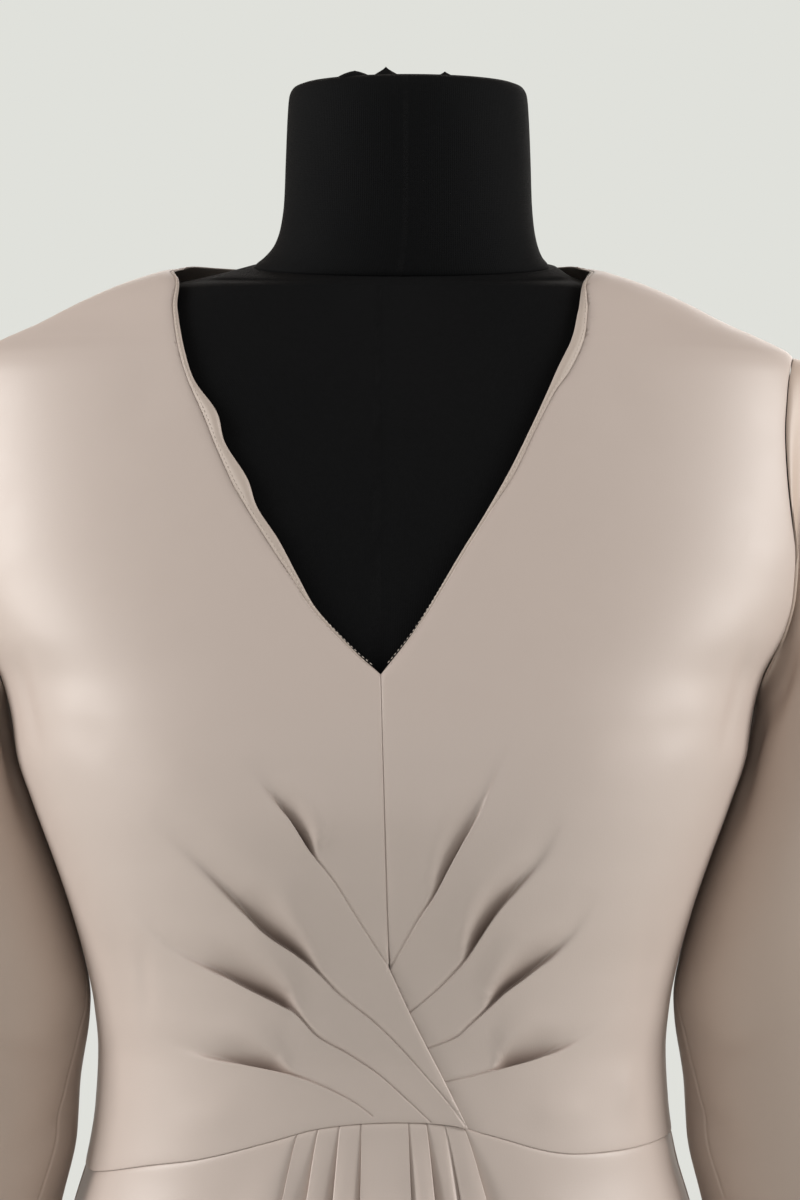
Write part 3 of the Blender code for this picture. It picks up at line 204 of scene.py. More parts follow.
# Folds of the front skirt: across at the waist in millimetres, share of the
# half-girth at the hem, depth at the waist and at the hem in millimetres.
FRONT_FOLDS = (
    (-138.5, -1, 0, 0), (-95, -0.82, 0, 7), (-62, -0.63, 0, -8), (-43, -0.5, 1.2, 11),
    (-33, -0.4, -1.6, -11), (-27, -0.31, 1.2, 12), (-20.5, -0.23, -1.6, -10),
    (-15.5, -0.15, 1.2, 11), (-11, -0.08, -1.6, -9), (0, 0, 1, 11), (11.8, 0.1, -1.6, -11),
    (17, 0.18, 1.2, 12), (22.2, 0.26, -1.8, -11), (26.2, 0.34, 1, 10), (30.2, 0.42, -1.6, -10),
    (35.5, 0.52, 1.4, 12), (42, 0.63, -1.4, -10), (66, 0.76, 0, 8), (98, 0.89, 0, -5),
    (138.5, 1, 0, 0))
BACK_FOLDS = ((0, 0), (0.16, 9), (0.33, -8), (0.5, 10), (0.67, -8), (0.84, 7), (1, 0))

SLEEVE_RADIUS = 0.052       # the sleeve's mean radius, which lays its turns out flat
SLEEVE_STEP_RADIUS = 0.0512     # the same for the steps of its grid
# Sleeve rings, millimetres: outer line across and height, inner line across
# and height, half-depth, and the ring's middle in depth.
SLEEVE_RINGS = np.array([
    (203, 1398.5, 180.5, 1236, 45, 0), (214, 1394, 181.2, 1228, 51, 0),
    (236, 1374, 180, 1210, 57, -1), (252, 1342, 172.5, 1180, 60, -2),
    (262, 1300, 163.5, 1153, 59, -3), (268, 1250, 154.5, 1125, 57, -4),
    (272, 1190, 148.8, 1095, 54, -5), (275.5, 1122, 147.2, 1060, 51, -6),
    (279, 1050, 148.6, 1022, 48, -8), (284, 985, 156.6, 985, 45.5, -9),
    (290, 930, 168.8, 930, 43, -10), (293, 870, 181.5, 870, 40.5, -11),
    (295, 805, 190, 805, 38, -12)])
# The sleeve's seam: ring number and turn (pi is the underarm, less is forward).
SLEEVE_SEAM = ((0, 3.1416), (4, 3.12), (6, 2.98), (8, 2.66), (10, 2.5), (12, 2.44))
# Creases of a sleeve: pairs of turn (degrees) and ring number, depth, width (mm).
CREASES_SLEEVE = (
    (((150, 0.4), (128, 1.6), (112, 3.2)), 2.2, 9),
    (((165, 0.8), (150, 2.4), (138, 4.4)), 2.6, 8),
    (((108, 0.3), (92, 1.4), (80, 2.6)), 1.2, 10),
    (((206, 0.5), (228, 1.9), (244, 3.6)), 2.4, 9),
    (((196, 1), (208, 2.9), (222, 5)), 2.2, 9),
    (((262, 0.4), (276, 1.6), (286, 3)), 1.1, 11),
    (((172, 6.4), (140, 7), (104, 7.1)), 1.8, 9),
    (((176, 7.5), (146, 7.9), (118, 8.4)), 1.5, 8),
    (((196, 6.9), (232, 7.5), (262, 7.4)), 2, 10),
    (((188, 8.1), (220, 8.4), (246, 9)), 1.5, 9),
    (((58, 5.4), (66, 8), (60, 11)), 1, 13),
    (((118, 9.2), (112, 10.6), (116, 12)), 1, 9),
    (((300, 6), (294, 8.6), (302, 11.6)), 1, 12))

# How far the form lies inside the cloth, millimetres: height in metres, then at
# the side, in front and behind.  It lies lower by FORM_DROP at the shoulders.
FORM_EASE = np.array([
    (0.8, 12, 14, 22), (0.9, 9, 12, 12), (1.036, 6, 10, 6.5), (1.1, 6, 13, 6.5),
    (1.182, 6, 7, 5.5), (1.242, 8, 4.4, 4.6), (1.309, 15, 3.3, 3.6), (1.37, 13, 3.2, 3.6),
    (1.395, 7.5, 3.1, 3.9), (1.407, 1.2, 3, 4.2), (1.449, 0.6, 2.8, 4.4)])
FORM_DROP = 0.0049
FORM_RADIUS = 0.12          # about the torso's own, for the width of its seams
FORM_ANGLES = np.linspace(0, 2 * math.pi, 144, endpoint=False)
# Ovals of the shoulder top and the neck: height at the middle, lean, centre
# across, half-width, front, back.
SHOULDER_TOP = (1.4378, 0.09, 0.003, 0.0915, 0.0475, 0.06)
NECK_SEAM = (1.443, 0.18, 0.01, 0.0755, 0.0455, 0.055)
NECK_RINGS = (
    (1.443, 0.18, 0.0095, 0.0735, 0.0452, 0.0545), (1.448, 0.165, 0.0105, 0.068, 0.046, 0.055),
    (1.4545, 0.14, 0.0118, 0.0642, 0.047, 0.0545), (1.463, 0.105, 0.0124, 0.062, 0.0482, 0.0542),
    (1.475, 0.07, 0.0127, 0.0607, 0.0493, 0.054), (1.495, 0.04, 0.0128, 0.06, 0.0505, 0.054),
    (1.518, 0, 0.0128, 0.059, 0.0512, 0.053), (1.5265, 0, 0.0128, 0.0582, 0.0505, 0.0522),
    (1.5305, 0, 0.0128, 0.056, 0.0484, 0.05), (NECK_TOP_Z, 0, 0.0128, 0.0525, 0.045, 0.0466))

# Bunches of jersey on the neck block: across, depth, half-width, half-depth,
# height and pointedness.
NECK_BUNCHES = (
    (-0.0258, -0.034, 0.009, 0.006, 0.0042, 0.8), (-0.0108, -0.0335, 0.0078, 0.0056, 0.0062, 1.5),
    (0.0176, -0.0325, 0.0054, 0.0046, 0.004, 1.3))

# The back's waist dart: girth from the centre back, and height.
DART = ((0.064, 1.0135), (0.06, 1.07), (0.0555, 1.13))

CENTRE_GAP = 0.0002         # from the centre back's line to each edge
CUFF_HEM = 0.020
SKIRT_HEM = 0.030
MOUTH_DEPTH = 0.0019        # a tuck is this deep where its stitches end
MOUTH_RUN = 0.070           # and grows shallow over this much of its mouth
TUCK_DEEPEST = 0.0078
# Rows of points along a tuck: distance from it, and how clear each row keeps.
TUCK_ROWS = (
    (0, 0.00025), (0.0003, 0.00022), (-0.0003, 0.00022), (0.0009, 0.0004), (-0.0009, 0.0004),
    (0.0018, 0.0007), (-0.0018, 0.0007), (-0.003, 0.001), (0.0032, 0.001), (-0.0046, 0.0013),
    (-0.0066, 0.0015), (0.0056, 0.0015))

PAINTED_FOLD_SHADE = 0.72        # painted shade: how much the silk's colour is darkened down in the mouth of a tuck

LIT_POINT = (0.0, 0.0, 1.15)        # what all the lights face
CAMERA_PLACE = (0.0088, -2.0, 1.28)
FLOOR_RINGS = (0.3, 0.8, 1.5, 3.0, 6.0, 14.0, 40.0)
FLOOR_SIDES = 96

# ------------------------------------------------------------------ smooth tables


def through(xs, ys, x):
    """A smooth curve through the rows (xs, ys) that doesn't overshoot."""
    xs, ys = np.asarray(xs, float), np.asarray(ys, float)
    x = np.clip(x, xs[0], xs[-1])
    step = np.diff(xs)
    slope = np.diff(ys) / step
    tangent = np.zeros(len(xs))
    tangent[0], tangent[-1] = slope[0], slope[-1]
    for i in range(1, len(xs) - 1):
        if slope[i - 1] * slope[i] > 0:
            before, after = 2 * step[i] + step[i - 1], step[i] + 2 * step[i - 1]
            tangent[i] = (before + after) / (before / slope[i - 1] + after / slope[i])
    k = np.clip(np.searchsorted(xs, x, side="right") - 1, 0, len(xs) - 2)
    t = (x - xs[k]) / step[k]
    return ((1 + 2 * t) * (1 - t) ** 2 * ys[k] + t * (1 - t) ** 2 * step[k] * tangent[k]
            + t * t * (3 - 2 * t) * ys[k + 1] + t * t * (t - 1) * step[k] * tangent[k + 1])


def radius(angle, z, inset=(0, 0, 0)):
    """Distance from the upright axis; angle 0 is the centre front, 90 the left."""
    wide, front, back, square_front, square_back = (
        through(SECTIONS[:, 0], SECTIONS[:, i], z) for i in range(1, 6))
    s, c = np.abs(np.sin(angle)), np.cos(angle)
    depth = np.where(c > 0, front - inset[1], back - inset[2])
    square = np.where(c > 0, square_front, square_back)
    return ((s / (wide - inset[0])) ** square + (np.abs(c) / depth) ** square) ** (-1 / square)


ANGLES = np.linspace(0.0, math.pi / 2, 241)
LEVELS = np.linspace(SECTIONS[0, 0], SECTIONS[-1, 0], 501)
SHARES = np.linspace(0.0, 1.0, 241)


def girths(behind):
    """For each level, the girth at ANGLES, counted from the front or back."""
    turn = math.pi - ANGLES if behind else ANGLES
    grid_angle, grid_z = np.meshgrid(turn, LEVELS)
    r = radius(grid_angle, grid_z)
    across, deep = r * np.sin(grid_angle), r * np.cos(grid_angle)
    run = np.hypot(np.diff(across, axis=1), np.diff(deep, axis=1))
    return np.hstack([np.zeros((len(LEVELS), 1)), np.cumsum(run, axis=1)])


GIRTH = {False: girths(False), True: girths(True)}
TURN = {b: np.array([np.interp(SHARES, row / row[-1], ANGLES) for row in GIRTH[b]])
        for b in (False, True)}


def quarter(z, behind=False):
    """The girth from the centre front (or back) to the side."""
    return np.interp(z, LEVELS, GIRTH[behind][:, -1])


def surface(g, z, behind=False):
    """Points of the worn surface from their girths and heights."""
    g, z = np.broadcast_arrays(np.asarray(g, float), np.asarray(z, float))
    share = np.clip(np.abs(g) / quarter(z, behind), 0, 1) * (len(SHARES) - 1)
    level = np.clip((z - LEVELS[0]) / (LEVELS[1] - LEVELS[0]), 0, len(LEVELS) - 1.001)
    i, j = level.astype(int), np.minimum(share.astype(int), len(SHARES) - 2)
    a, b = level - i, share - j
    table = TURN[behind]
    turn = ((table[i, j] * (1 - b) + table[i, j + 1] * b) * (1 - a)
            + (table[i + 1, j] * (1 - b) + table[i + 1, j + 1] * b) * a)
    turn = np.copysign(turn, g)
    angle = math.pi - turn if behind else turn
    r = radius(angle, z)
    return np.stack([r * np.sin(angle), -r * np.cos(angle), z], axis=-1)


def outward(g, z, behind=False):
    """The surface's outward directions."""
    d = 0.0007
    g, z = np.broadcast_arrays(np.asarray(g, float), np.asarray(z, float))
    inner = np.abs(g) < quarter(z, behind) - 2 * d
    a = np.where(inner, g, np.sign(g) * (quarter(z, behind) - 2 * d))
    run = surface(a + d, z, behind) - surface(a - d, z, behind)
    rise = (surface(a, np.minimum(z + d, LEVELS[-1]), behind)
            - surface(a, np.maximum(z - d, LEVELS[0]), behind))
    out = np.cross(-run if behind else run, rise)
    return out / np.linalg.norm(out, axis=-1)[..., None]


def raised(g, z, lift, behind=False):
    """Points of the worn surface, lifted outward."""
    return surface(g, z, behind) + outward(g, z, behind) * np.asarray(lift)[..., None]


def girth_at(x, z):
    """The girth, from the centre front, of the front point at x, z."""
    r = radius(ANGLES, np.full_like(ANGLES, z))
    turn = np.interp(abs(x), r * np.sin(ANGLES), ANGLES)
    row = np.array([np.interp(z, LEVELS, GIRTH[False][:, k]) for k in range(len(ANGLES))])
    return math.copysign(np.interp(turn, ANGLES, row), x)


def worn_rows(rows):
    """Rows in millimetres (across, height, sizes) as girths, heights and sizes in metres."""
    return [(girth_at(x / 1000, z / 1000), z / 1000, *(v / 1000 for v in rest))
            for x, z, *rest in rows]


def sided(name, side):
    return name + ("_left" if side > 0 else "_right")


# The flat plan stretches the heights near the shoulder, where the surface
# lies down, so that its facets stay even.
PLAN_Z = np.linspace(0.44, 1.46, 511)
PLAN_H = np.concatenate([[0.44], 0.44 + np.cumsum(
    (1 + 1.7 * np.clip((PLAN_Z[1:] - 1.375) / 0.035, 0, 1)) * np.diff(PLAN_Z))])


def plan(points):
    points = np.asarray(points, float)
    return np.stack([points[..., 0], np.interp(points[..., 1], PLAN_Z, PLAN_H)], axis=-1)


def unplan(points):
    points = np.asarray(points, float)
    return np.stack([points[..., 0], np.interp(points[..., 1], PLAN_H, PLAN_Z)], axis=-1)


# ------------------------------------------------------------------- plane curves


def smooth_line(points, step):
    """Even points along a smooth curve through the given ones (any columns)."""
    points = np.array(points, float)
    run = np.concatenate([[0], np.cumsum(np.hypot(*np.diff(points[:, :2], axis=0).T))])
    fine = np.linspace(0, run[-1], 24 * len(points))
    dense = catmull(run, points, fine)
    along = np.concatenate([[0], np.cumsum(np.hypot(*np.diff(dense[:, :2], axis=0).T))])
    count = max(2, int(round(along[-1] / step)) + 1)
    stops = np.linspace(0, along[-1], count)
    return np.stack([np.interp(stops, along, dense[:, c]) for c in range(dense.shape[1])], axis=1)


def catmull(run, points, s):
    """Values at runs s of the curve through points, with chordal tangents."""
    last = len(run) - 1
    k = np.clip(np.searchsorted(run, s, side="right") - 1, 0, last - 1)
    before, after = np.maximum(k - 1, 0), np.minimum(k + 2, last)
    step = (run[k + 1] - run[k])[:, None]
    t = (s - run[k])[:, None] / step
    start = (points[k + 1] - points[before]) / (run[k + 1] - run[before])[:, None] * step
    end = (points[after] - points[k]) / (run[after] - run[k])[:, None] * step
    return ((1 + 2 * t) * (1 - t) ** 2 * points[k] + t * (1 - t) ** 2 * start
            + t * t * (3 - 2 * t) * points[k + 1] + t * t * (t - 1) * end)


def left_hand(line):
    """Unit directions to the left of a plane line, one for each of its points."""
    run = np.gradient(np.asarray(line)[:, :2], axis=0)
    side = np.stack([-run[:, 1], run[:, 0]], axis=1)
    return side / np.linalg.norm(side, axis=1)[:, None]


def near_line(points, line):
    """For each point: distance to the line, signed side, place along it (0 to n)."""
    a, run = line[:-1, :2], np.diff(line[:, :2], axis=0)
    gap = np.full(len(points), 1e9)
    side, place = np.zeros(len(points)), np.zeros(len(points))
    for start in range(0, len(points), 4000):
        p = points[start:start + 4000, None, :] - a[None]
        t = np.clip((p * run).sum(-1) / (run ** 2).sum(-1), 0, 1)
        away = p - run[None] * t[..., None]
        dist = np.hypot(away[..., 0], away[..., 1])
        k = dist.argmin(axis=1)
        rows = np.arange(len(k))
        gap[start:start + 4000] = dist[rows, k]
        cross = run[k, 0] * away[rows, k, 1] - run[k, 1] * away[rows, k, 0]
        side[start:start + 4000] = np.sign(cross)
        place[start:start + 4000] = k + t[rows, k]
    return gap, side, place


def inside(points, loop):
    """True where the points lie inside the loop."""
    x0, y0 = loop[:, 0], loop[:, 1]
    x1, y1 = np.roll(x0, -1), np.roll(y0, -1)
    found = np.zeros(len(points), bool)
    for start in range(0, len(points), 4000):
        x, y = points[start:start + 4000, 0:1], points[start:start + 4000, 1:2]
        crosses = (y0 > y) != (y1 > y)
        at = x0 + (y - y0) / np.where(crosses, y1 - y0, 1) * (x1 - x0)
        found[start:start + 4000] = np.count_nonzero(crosses & (x < at), axis=1) % 2 == 1
    return found


def eased(t):
    t = np.clip(t, 0, 1)
    return t * t * (3 - 2 * t)


def dip(away, depth, width, power=2):
    """Depth of a soft furrow, at a distance from its line."""
    return depth * np.exp(-(away / width) ** power)


# -------------------------------------------------------------------- seams in plan

WAIST_LINE = smooth_line([(x / 1000, z / 1000) for x, z in WAIST], 0.004)
WAIST_G = np.array([girth_at(x, z) for x, z in WAIST_LINE])
WAIST_Z = WAIST_LINE[:, 1]
SHOULDER_RUN = float(quarter(SHOULDER_TIP_Z) - quarter(NECK_POINT_Z))


def waist_z(g):
    """Height of the waist seam at girth g from the centre front."""
    return np.interp(g, WAIST_G, WAIST_Z)


def waist_back_z(g, side):
    """Height of the waist seam behind: from the side's height to the middle's."""
    at_side = WAIST_Z[0] if side < 0 else WAIST_Z[-1]
    ease = eased(np.abs(g) / quarter(at_side, True))
    return WAIST_BACK_Z + (at_side - WAIST_BACK_Z) * ease


def armhole(turn):
    """Depth into the panel and height of the armhole; turn 0 is the top."""
    middle = (SHOULDER_TIP_Z + UNDERARM_Z) / 2
    reach = (SHOULDER_TIP_Z - UNDERARM_Z) / 2
    cut = np.where(np.sin(turn) > 0, ARMHOLE_FRONT, ARMHOLE_BACK)
    return cut * np.abs(np.sin(turn)) ** 0.85, middle + reach * np.cos(turn)


def armhole_line(behind, side, steps=90):
    """The armhole from the underarm to the shoulder tip, in girth and height."""
    turn = math.pi * (1 - np.linspace(0, 1, steps + 1)) * (-1 if behind else 1)
    cut, z = armhole(turn)
    cut[0] = cut[-1] = 0.0
    return np.stack([side * (quarter(z, behind) - cut), z], axis=1)


def shoulder_point(along, behind, side):
    """Points of the shoulder seam, by their distance from the neck point."""
    z = NECK_POINT_Z + (SHOULDER_TIP_Z - NECK_POINT_Z) * np.asarray(along) / SHOULDER_RUN
    return np.stack([side * quarter(z, behind), z], axis=-1)


def neckline(table, step=0.0022):
    """Facing edge and front edge in girth and height, as two matching lines."""
    rows = worn_rows(table)
    side = math.copysign(1, rows[0][0])
    rows[0] = (side * float(quarter(NECK_POINT_Z)), NECK_POINT_Z, rows[0][2])
    line = smooth_line(rows, step)
    edge = line[:, :2] + left_hand(line) * side * line[:, 2:3]
    edge[0] = shoulder_point(line[0, 2], False, side)
    edge[-1] = (0.0, line[-1, 1] - line[-1, 2])
    return line[:, :2], edge


def back_neck_z(share):
    """Height of the back neckline; share 0 is the centre back, 1 the side."""
    return NECK_POINT_Z + BACK_NECK_RISE * (1 - share * share)


# ------------------------------------------------------------------- mesh makers


def add_mesh(name, points, faces, material, flat=None):
    """A smooth-shaded mesh object; flat gives each point's place in the cut."""
    mesh = bpy.data.meshes.new(name)
    mesh.from_pydata([tuple(map(float, p)) for p in points], [],
                     [tuple(map(int, f)) for f in faces])
    mesh.validate()
    if flat is not None:
        layer = mesh.uv_layers.new(name="flat")
        index = np.zeros(len(mesh.loops), np.int32)
        mesh.loops.foreach_get("vertex_index", index)
        layer.data.foreach_set("uv", np.asarray(flat, np.float32)[index].ravel())
    mesh.shade_smooth()
    mesh.materials.append(material)
    piece = bpy.data.objects.new(name, mesh)
    bpy.context.scene.collection.objects.link(piece)
    return piece


def outward_faces(points, faces, about=(0.0, 0.0)):
    """The faces, turned to look away from the upright line at about."""
    points, faces = np.asarray(points), np.asarray(faces)
    a, b, c = (points[faces[:, i]] for i in range(3))
    out = np.cross(b - a, c - a)
    if (((a[:, :2] - about) * out[:, :2]).sum()) < 0:
        faces = faces[:, ::-1]
    return faces


def add_cloth(name, points, faces, flat, material, thick, about=(0.0, 0.0)):
    """A thin shell of cloth: the points are its outside."""
    piece = add_mesh(name, points, outward_faces(points, faces, about), material, flat)
    shell = piece.modifiers.new("cloth", "SOLIDIFY")
    shell.thickness = thick
    shell.offset = -1
    shell.use_rim = True
    shell.use_even_offset = False
    return piece


def grid_faces(rows, columns, wrap=False):
    """Quads of a grid of points, rows by columns."""
    found = []
    for r in range(rows - 1):
        for c in range(columns if wrap else columns - 1):
            right = (c + 1) % columns
            a, b = r * columns + c, r * columns + right
            found.append((a, b, b + columns, a + columns))
    return np.array(found)


def add_grid(name, points, flat, material, thick, wrap=False, about=(0.0, 0.0)):
    """Cloth over a grid of points, rows by columns; a tube wraps round."""
    return add_cloth(name, points.reshape(-1, 3), grid_faces(*points.shape[:2], wrap),
                     flat.reshape(-1, 2), material, thick, about)


def fill(loop, features, cell):
    """Fine triangles over a panel: its edge, its feature rows and even cells."""
    edge = plan(loop)
    kept = list(edge)

    def keep_clear(spots, clear):
        """Keeps the spots inside that lie clear of all that are kept."""
        taken = kdtree.KDTree(len(kept))
        for k, p in enumerate(kept):
            taken.insert((p[0], p[1], 0), k)
        taken.balance()
        kept.extend([p for p in spots[inside(spots, edge)]
                     if taken.find((p[0], p[1], 0))[2] > clear])

    for row, clear in features:
        keep_clear(plan(row), clear)
    low, high = edge.min(axis=0), edge.max(axis=0)
    tall = cell * math.sqrt(3) / 2
    rows, columns = int((high[1] - low[1]) / tall) + 1, int((high[0] - low[0]) / cell) + 2
    j, i = np.meshgrid(np.arange(rows), np.arange(columns), indexing="ij")
    cells = np.stack([low[0] + (i + 0.5 * (j % 2)) * cell, low[1] + (j + 0.5) * tall], axis=-1)
    keep_clear(cells.reshape(-1, 2), 0.6 * cell)
    made = delaunay_2d_cdt([Vector(p) for p in kept], [], [list(range(len(edge)))], 1, 1e-7)
    spots = unplan(np.array([tuple(v) for v in made[0]]))
    return spots, np.array([tuple(f) for f in made[2]])


# ---------------------------------------------------------------- tucks and creases


def tuck_lines(tucks, step=0.0014):
    """Each tuck as even points: girth, height, then its sizes in metres."""
    lines = []
    for rows in tucks:
        line = smooth_line(worn_rows(rows), step)
        line[:, 2:] = np.maximum(line[:, 2:], 0.0)
        # deepest just past the last stitch, shallower towards the fold's open end
        past = np.cumsum(np.where(line[:, 2] > MOUTH_DEPTH, step, 0.0))
        line[:, 2] *= np.clip(1.18 - past / MOUTH_RUN, 0.42, 1.12)
        # the lip stays crisp along the mouth and softens where the fold dies out
        line[:, 5] *= np.clip(1.15 - line[:, 2] / 0.0034, 0.12, 1.0)
        line[:, 2] = np.minimum(line[:, 2] * 1.45, TUCK_DEEPEST)
        line[:, 3] *= 1.0 + 0.35 * np.clip(line[:, 2] / 0.003 - 0.6, 0, 1)
        line[:, 4] *= 0.5
        lines.append(line)
    return lines


def tuck_rows(lines):
    """Rows of points along both sides of each tuck, nearest rows first."""
    return [(line[:, :2] + left_hand(line) * away, clear)
            for away, clear in TUCK_ROWS for line in lines]


def tuck_shape(spots, lines, strength):
    """Lift of each point, its sideways shift and its painted shade, from all the tucks."""
    lift, shade = np.zeros(len(spots)), np.zeros(len(spots))
    shift = np.zeros((len(spots), 2))
    for line in lines:
        gap, side, place = near_line(spots, line)
        k = np.minimum(place.astype(int), len(line) - 2)
        t = place - k
        depth, width, lip, soft = (line[k, c] * (1 - t) + line[k + 1, c] * t for c in range(2, 6))
        run = line[k + 1, :2] - line[k, :2]
        over = -side * np.sign(run[:, 0])      # +1 on the lip's side, below the line
        d = gap * over
        # beyond either end of the line the tuck fades out
        end = np.where(place <= 0, np.hypot(*(spots - line[0, :2]).T), 0.0)
        fade = np.exp(-(end / 0.0012) ** 2)
        mix = 0.5 * (1 + np.tanh(d / np.maximum(soft, 0.00010)))
        hollow = -depth * np.clip(1 - np.maximum(-d, 0) / np.maximum(width, 1e-4), 0, 1) ** 1.65
        ridge = lip * np.exp(-(np.maximum(d, 0) / (0.0025 + 10.0 * lip)) ** 1.3)
        # the cloth rolls up a little before it dips into the hollow
        roll = 0.24 * np.clip(depth - 0.0012, 0, 1) * np.exp(
            -((d + 1.05 * width) / (0.42 * width + 0.001)) ** 2)
        lift += fade * (mix * ridge + (1 - mix) * hollow + roll) * strength
        reach = np.clip(depth - 0.0008, 0, 0.006) * 0.62
        across = np.stack([-run[:, 1], run[:, 0]], axis=1) * np.sign(run[:, 0:1])
        across /= np.linalg.norm(across, axis=1)[:, None]
        # the hollow's floor runs back under the lip
        under = fade * reach * (1 - mix) * np.exp(np.minimum(d, 0) / (0.0015 + 0.45 * width))
        shift -= across * under[:, None]
        # painted shade: the silk's colour is darkened down in the mouth of the fold, where the
        # fold's own shadow falls
        deep = np.clip(depth / 0.0072, 0, 1) ** 1.3 * np.clip(depth / 0.002 - 0.7, 0, 1)
        far = np.maximum(-d, 0) / (0.52 * width + 0.0008)
        shade = np.maximum(shade, fade * (1 - mix) * deep * np.exp(-far ** 1.6))
    return lift, shift, shade


def crease_lift(spots, creases, place):
    """Soft troughs and ridges with tapered ends; place puts their points in plan."""
    lift = np.zeros(len(spots))
    for points, depth, width in creases:
        line = smooth_line(place(points), 0.004)
        gap, _, at = near_line(spots, line)
        share = at / (len(line) - 1)
        taper = eased(share * 2.6) * eased((1 - share) * 2.2)
        lift -= dip(gap, depth / 1000 * taper, width / 1000)
    return lift


def seam_sink(spots, line, depth, width):
    """How far the cloth turns in towards a seam."""
    return -dip(near_line(spots, line)[0], depth, width, 1.4)


def edge_rows(loop):
    """Rows of points a little inside the outline, for its turned-in edge."""
    flat = plan(loop)
    ahead = np.roll(flat, -1, axis=0) - np.roll(flat, 1, axis=0)
    ahead /= np.maximum(np.linalg.norm(ahead, axis=1), 1e-9)[:, None]
    inward = np.stack([-ahead[:, 1], ahead[:, 0]], axis=1)
    return [(unplan(flat + inward * d), 0.55 * d + 0.0001) for d in (0.0006, 0.0014, 0.0028)]


# ---------------------------------------------------------------------- shader maths


class Wire:
    """A node's socket that can be written in sums."""

    def __init__(self, sheet, socket):
        self.sheet, self.socket = sheet, socket

    def sum(self, kind, a, b=0.0):
        return self.sheet.node("ShaderNodeMath", {"operation": kind}, {0: a, 1: b})

    def __add__(self, other):
        return self.sum("ADD", self, other)

    def __sub__(self, other):
        return self.sum("SUBTRACT", self, other)

    def __rsub__(self, other):
        return self.sum("SUBTRACT", other, self)

    def __mul__(self, other):
        return self.sum("MULTIPLY", self, other)

    def wave(self):
        return self.sum("SINE", self)

    __radd__, __rmul__ = __add__, __mul__


class Nodes:
    """A node tree, filled in from empty."""

    def __init__(self, tree):
        self.tree = tree
        tree.nodes.clear()

    def node(self, kind, settings=None, values=None, out=0):
        """Adds a node: its settings first, then its sockets; gives an output."""
        made = self.tree.nodes.new(kind)
        for key, value in (settings or {}).items():
            setattr(made, key, value)
        for key, value in (values or {}).items():
            if isinstance(value, Wire):
                self.tree.links.new(value.socket, made.inputs[key])
            else:
                made.inputs[key].default_value = value
        return Wire(self, made.outputs[out])

    def end(self, kind, last):
        """Ends the tree in an output node."""
        self.tree.links.new(last.socket, self.tree.nodes.new(kind).inputs[0])


class Finish(Nodes):
    """One material's nodes, with the few that all finishes share."""

    def __init__(self, name, colour):
        self.material = bpy.data.materials.new(name)
        self.material.use_nodes = True
        self.material.diffuse_color = tinted(colour, 1, 1, 1)
        super().__init__(self.material.node_tree)

    def body(self):
        """Object coordinates."""
        return self.node("ShaderNodeTexCoord", out=3)

    def cut(self):
        """Places in the flat cut of the cloth."""
        return self.node("ShaderNodeUVMap", {"uv_map": "flat"})

    def across_and_up(self, place):
        """The first two coordinates of a place."""
        across = self.node("ShaderNodeSeparateXYZ", None, {0: place})
        return across, Wire(self, across.socket.node.outputs[1])

    def noise(self, place, scale, detail=2.0, rough=0.5, stretch=None):
        """Even grain, or lines where stretch gives its scale on each axis."""
        if stretch:
            place = self.node("ShaderNodeMapping", None, {"Vector": place, "Scale": stretch})
        return self.node("ShaderNodeTexNoise", None, {
            "Vector": place, "Scale": scale, "Detail": detail, "Roughness": rough})

    def blend(self, share, a, b):
        """A colour between a and b."""
        return self.node("ShaderNodeMix", {"data_type": "RGBA"}, {0: share, 6: a, 7: b}, out=2)

    def shades(self, share, colour, low, high):
        """A colour between two shades of one."""
        return self.blend(share, tinted(colour, low, low, low), tinted(colour, high, high, high))

    def done(self, tone, roughness, relief, more):
        """Ends in a principled shader; relief is a height, its strength and distance."""
        height, strength, distance = relief
        bump = self.node("ShaderNodeBump", None, {"Strength": strength, "Distance": distance,
                                                  "Height": height})
        self.end("ShaderNodeOutputMaterial", self.node("ShaderNodeBsdfPrincipled", None, {
            "Base Color": tone, "Roughness": roughness, "Normal": bump, **more}))
        return self.material


def tinted(colour, *shares):
    return tuple(min(1.0, c * s) for c, s in zip(colour[:3], shares)) + (1.0,)


def silk_finish(name, colour, roughness, sheen, grain):
    """Crepe-backed satin: close warp threads, a faint crepe grain, soft sheen."""
    f = Finish(name, colour)
    cut, body = f.cut(), f.body()
    drift, mottle = f.noise(body, 9.0), f.noise(body, 55.0, 3.0, 0.6)
    threads = f.noise(cut, 1.0, 2.0, 0.6, (2600.0, 170.0, 1.0))
    picks = f.noise(cut, 1.0, 1.0, 0.5, (240.0, 2100.0, 1.0))
    crepe = f.noise(body, 1100.0, 1.0)
    cool = f.blend(drift, tinted(colour, 0.985, 0.995, 1.01), tinted(colour, 1.015, 1.0, 0.985))
    base = f.shades(mottle * 0.5 + threads * 0.5, colour, 0.955, 1.04)
    # painted shade: the tucks' meshes carry how much the silk's colour is darkened in each fold's
    # mouth, where its shadow falls
    shade = f.node("ShaderNodeAttribute", {"attribute_name": "painted_fold_shade"}, out=2)
    tone = f.blend(shade * PAINTED_FOLD_SHADE, f.blend(0.5, cool, base),
                   tinted(colour, 0.30, 0.235, 0.20))
    gloss = roughness + (mottle - 0.5) * 0.10 + (threads - 0.5) * 0.08
    return f.done(tone, gloss, (threads * 0.5 + picks * 0.25 + crepe * 0.45, grain, 0.00012), {
        "IOR": 1.5, "Specular IOR Level": 0.55, "Sheen Weight": sheen, "Sheen Roughness": 0.45,
        "Sheen Tint": tinted(colour, 1.5, 1.5, 1.5)})


